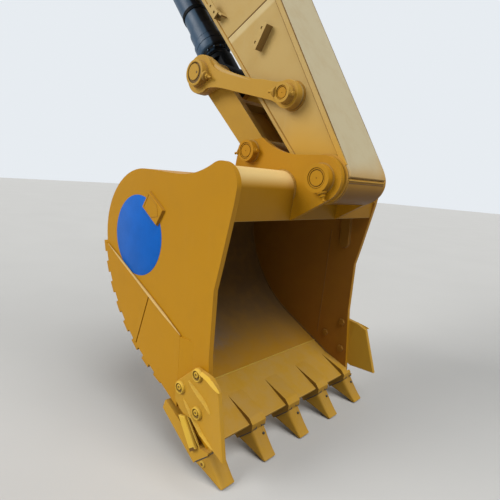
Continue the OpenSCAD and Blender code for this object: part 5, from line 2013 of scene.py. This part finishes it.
    def cutter_plates(self) -> None:
        """The side cutters: flat plates cut to shape, whose front turns out past the fold.

        Ahead of the fold y grows by the distance from it times the flare.
        """
        way, fold = spoke(self.fold_tilt), stand(LAY.bucket_at + self.fold, 0.0)
        for side in Side:
            shape, face = Shape(), side * LAY.bucket_out
            outline = np.array(self.cutter_form) + LAY.bucket_at
            shape.prism(outline, face, face + side * self.cutter_t, 0.003)
            name = f"side_cutter_{side.name.lower()}"
            piece = self.add(shape, f"{name}_plate", self.paints.edge, name)
            work = bmesh.new()
            work.from_mesh(piece.data)
            cut_across(work, fold, way)
            work.to_mesh(piece.data)
            work.free()
            spots = np.zeros((len(piece.data.vertices), 3))
            piece.data.vertices.foreach_get("co", spots.ravel())
            spots[:, 1] += side * np.maximum((fold - spots) @ way, 0.0) * self.flare
            piece.data.vertices.foreach_set("co", spots.ravel())
            piece.data.update()

    def wear_edges(self) -> None:
        """The bevel along each wear plate's upper edge, bright as a painted highlight, and the slope at its
        front end.
        """
        lines, slopes = Shape(), Shape()
        edge = np.array(self.wear_top) + LAY.bucket_at + (-0.001, 0.002)
        x, wall, face = self.wear_front_x, LAY.bucket_out - 0.002, LAY.bucket_out + self.wear_t - 0.0004
        foot = ((x, wall), (x, face), (x - self.wear_slope, wall))
        for side in Side:
            y = side * (LAY.bucket_out + self.wear_t - 0.0035)
            lines.bead(at_y(edge, y), 0.0062, pitch=0.7)
            rows = []
            for z in self.wear_front_z:
                rows.append([stand(LAY.bucket_at + (px, z), side * py) for px, py in foot])
            slopes.rings(np.array(rows))
        self.add(lines, "wear_plate_bevels", self.paints.bare)
        self.add(slopes, "wear_plate_slopes", self.paints.yellow)

    def cutter_face(self, points: np.ndarray, lift: float = 0.0) -> np.ndarray:
        """Puts points of the side view on the outer face of the flared side cutter.

        Ahead of the fold the face runs out by the flare for each metre.

        Args:
            points: rows of x and z in the bucket's own frame.
            lift: height above the face.

        Returns:
            Rows of x, y and z in the part's frame, on the left side.
        """
        points = np.asarray(points, float)
        ahead = -(points - self.fold) @ spoke(self.fold_tilt)[[0, 2]]
        y = LAY.bucket_out + self.cutter_t + np.clip(ahead, 0, None) * self.flare + lift
        return at_y(points + LAY.bucket_at, y)

    def cutters(self) -> None:
        """Ribs, cups and nuts of the side cutters, and the bolt heads inside the walls."""
        ribs, nuts, inside = Shape(), Shape(), Shape()
        lines = (
            # points of a rib's middle line, half its width
            (((0.282, -0.864), (0.180, -0.884), (0.100, -0.901)), 0.0105),
            (((0.320, -0.935), (0.150, -1.024)), 0.0110),
            (((0.352, -1.034), (0.285, -1.090), (0.215, -1.146), (0.112, -1.164)), 0.0095),
        )
        cup = [
            [-0.002, 0.031], [0.006, 0.030], [0.012, 0.0275], [0.0135, 0.0255],
            [0.0135, 0.0235], [0.011, 0.022], [0.001, 0.021], [0.001, 0.0],
        ]
        for side in Side:
            mirror = np.array([1, side, 1])
            for way, half in lines:
                ribs.rings(self.rib_grid(np.array(way), half) * mirror)
            for spot in self.cutter_bolts:
                outer = self.cutter_face([spot])[0] * mirror
                # The darkening inside each cup is painted shade.
                nuts.turned(cup, outer, side.way, 48, grime=[0.3, 0, 0, 0, 0, 0.4, 0.9, 0.95])
                Hardware(nuts).nut(outer + (0.0035, 0, 0.0025), side.way, 0.029, 0.0105)
                inner = stand(LAY.bucket_at + spot, side * LAY.bucket_in)
                Hardware(inside).bolt(inner, -np.array(side.way), 0.046, 0.012)
        # The ribs and cups take the bright rib paint, a painted highlight.
        self.add(ribs, "side_cutter_ribs", self.paints.rib)
        self.add(nuts, "side_cutter_cups", self.paints.rib)
        # The bolt heads inside the walls take the dark inner paint, painted shade.
        self.add(inside, "inner_bolt_heads", self.paints.inner)

    def rib_grid(self, way: np.ndarray, half: float) -> np.ndarray:
        """A rib on the side cutter: three-cornered sections that swell and fall as an ellipse.

        Args:
            way: points of its middle line.
            half: half its width.

        Returns:
            Its sections, on the left side.
        """
        s = np.linspace(0, 1, 33)
        swell = np.sqrt(np.clip(1 - (2 * s - 1) ** 2, 0.004, 1))[:, None]
        spine = spaced(way, s * lengths(way)[-1])
        whole = unit(way[-1] - way[0])
        foot = half * swell * np.array([-whole[1], whole[0]])
        crest = self.cutter_face(spine - 0.2 * foot)
        crest[:, 1] += self.rib_rise * swell[:, 0]
        low, high = self.cutter_face(spine - foot, -0.003), self.cutter_face(spine + foot, -0.003)
        return np.stack([low, crest, high], 1)


# The studio


@dataclass(frozen=True)
class Lamp:
    """A wide soft sun: the way to it, its strength and the angle that it fills, in degrees."""

    name: str
    way: Triple
    strength: float
    angle: float


@dataclass
class Studio:
    """Pale floor, soft light and the camera at the photograph's place."""

    eye: Triple = (-2.6587, 1.7686, -2.5611)
    right: Triple = (-0.72630, -0.68365, 0.07149)
    down: Triple = (-0.16306, 0.07032, -0.98411)
    ahead: Triple = (0.66776, -0.72642, -0.16255)
    focal_px: float = 420.13
    frame_px: float = 500.0
    sensor_mm: float = 36.0
    floor_half: float = 40.0
    floor_gap: float = 0.002
    sky: Colour = (0.88, 0.94, 1.0)
    sky_strength: float = 0.15
    backdrop: Colour = (0.80, 0.84, 0.88)
    lamp_colour: Colour = (1.0, 0.985, 0.96)
    lamps: tuple[Lamp, ...] = (
        Lamp("key", (0.42, 0.78, 0.46), 2.34, 35.0),
        Lamp("sky", (-0.55, 0.05, 0.84), 2.28, 50.0),
    )

    def build(self) -> None:
        """Builds floor, light and camera."""
        self.camera()
        self.floor()
        self.world()
        for lamp in self.lamps:
            self.lamp(lamp)
        bpy.context.scene.view_settings.view_transform = "Standard"

    def turned(self, x: np.ndarray, y: np.ndarray, z: np.ndarray, at: Triple = (0.0, 0.0, 0.0)) -> Matrix:
        """The placing of an object whose own axes point along x, y and z."""
        return Matrix([*zip(x, y, z, at), (0.0, 0.0, 0.0, 1.0)])

    def camera(self) -> None:
        """Sets the camera from the fitted place and turn."""
        data = bpy.data.cameras.new("camera")
        data.sensor_width = self.sensor_mm
        data.lens = self.focal_px * self.sensor_mm / self.frame_px
        data.clip_end = 200.0
        camera = bpy.data.objects.new("camera", data)
        bpy.context.scene.collection.objects.link(camera)
        camera.matrix_world = self.turned(self.right, -np.array(self.down), -np.array(self.ahead), self.eye)
        bpy.context.scene.camera = camera

    def floor(self) -> None:
        """A wide pale floor just under the teeth."""
        low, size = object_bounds()[0][2] - self.floor_gap, self.floor_half
        mesh = bpy.data.meshes.new("floor")
        corners = [(-size, -size, low), (size, -size, low), (size, size, low), (-size, size, low)]
        mesh.from_pydata(corners, [], [(0, 1, 2, 3)])
        g = Graph("pale_floor")
        colour = g.mix(g.noise(g.place(), 0.8, 4), (0.52, 0.52, 0.51), (0.57, 0.57, 0.56))
        mesh.materials.append(g.surface(colour, 0.8, None))
        floor = bpy.data.objects.new("floor", mesh)
        bpy.context.scene.collection.objects.link(floor)
        floor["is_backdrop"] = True

    def world(self) -> None:
        """A dim even sky, which camera, glossy and clear rays see as a pale backdrop."""
        world = bpy.data.worlds.new("pale_sky")
        bpy.context.scene.world = world
        world.use_nodes = True
        nodes, links = world.node_tree.nodes, world.node_tree.links
        nodes.clear()
        path, mix = nodes.new("ShaderNodeLightPath"), nodes.new("ShaderNodeMixShader")
        seen = path.outputs["Is Camera Ray"]
        for ray in ("Is Glossy Ray", "Is Transmission Ray"):
            either = nodes.new("ShaderNodeMath")
            either.operation = "MAXIMUM"
            links.new(seen, either.inputs[0])
            links.new(path.outputs[ray], either.inputs[1])
            seen = either.outputs[0]
        links.new(seen, mix.inputs[0])
        for colour, strength, socket in ((self.sky, self.sky_strength, 1), (self.backdrop, 1.0, 2)):
            back = nodes.new("ShaderNodeBackground")
            back.inputs["Color"].default_value = (*colour, 1.0)
            back.inputs["Strength"].default_value = strength
            links.new(back.outputs[0], mix.inputs[socket])
        end = nodes.new("ShaderNodeOutputWorld")
        links.new(mix.outputs[0], end.inputs["Surface"])

    def lamp(self, lamp: Lamp) -> None:
        """Hangs one sun, which shines from the lamp's way.

        Args:
            lamp: the sun.
        """
        data = bpy.data.lights.new(lamp.name, "SUN")
        data.energy, data.angle, data.color = lamp.strength, math.radians(lamp.angle), self.lamp_colour
        holder = bpy.data.objects.new(lamp.name, data)
        bpy.context.scene.collection.objects.link(holder)
        back = unit(lamp.way)
        side = unit(np.cross((0, 0, 1), back))
        holder.matrix_world = self.turned(side, np.cross(back, side), back)


def main() -> None:
    logging.basicConfig(level=logging.INFO, format="%(name)s: %(message)s")
    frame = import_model()
    paints = Paints()
    Studio().build()
    for part in (Arm, Linkage, BucketCylinder, Bucket, CuttingEdge):
        LOG.info("building %s", part.__name__)
        part(paints, frame["nodes"]).build()


if __name__ == "__main__":
    main()
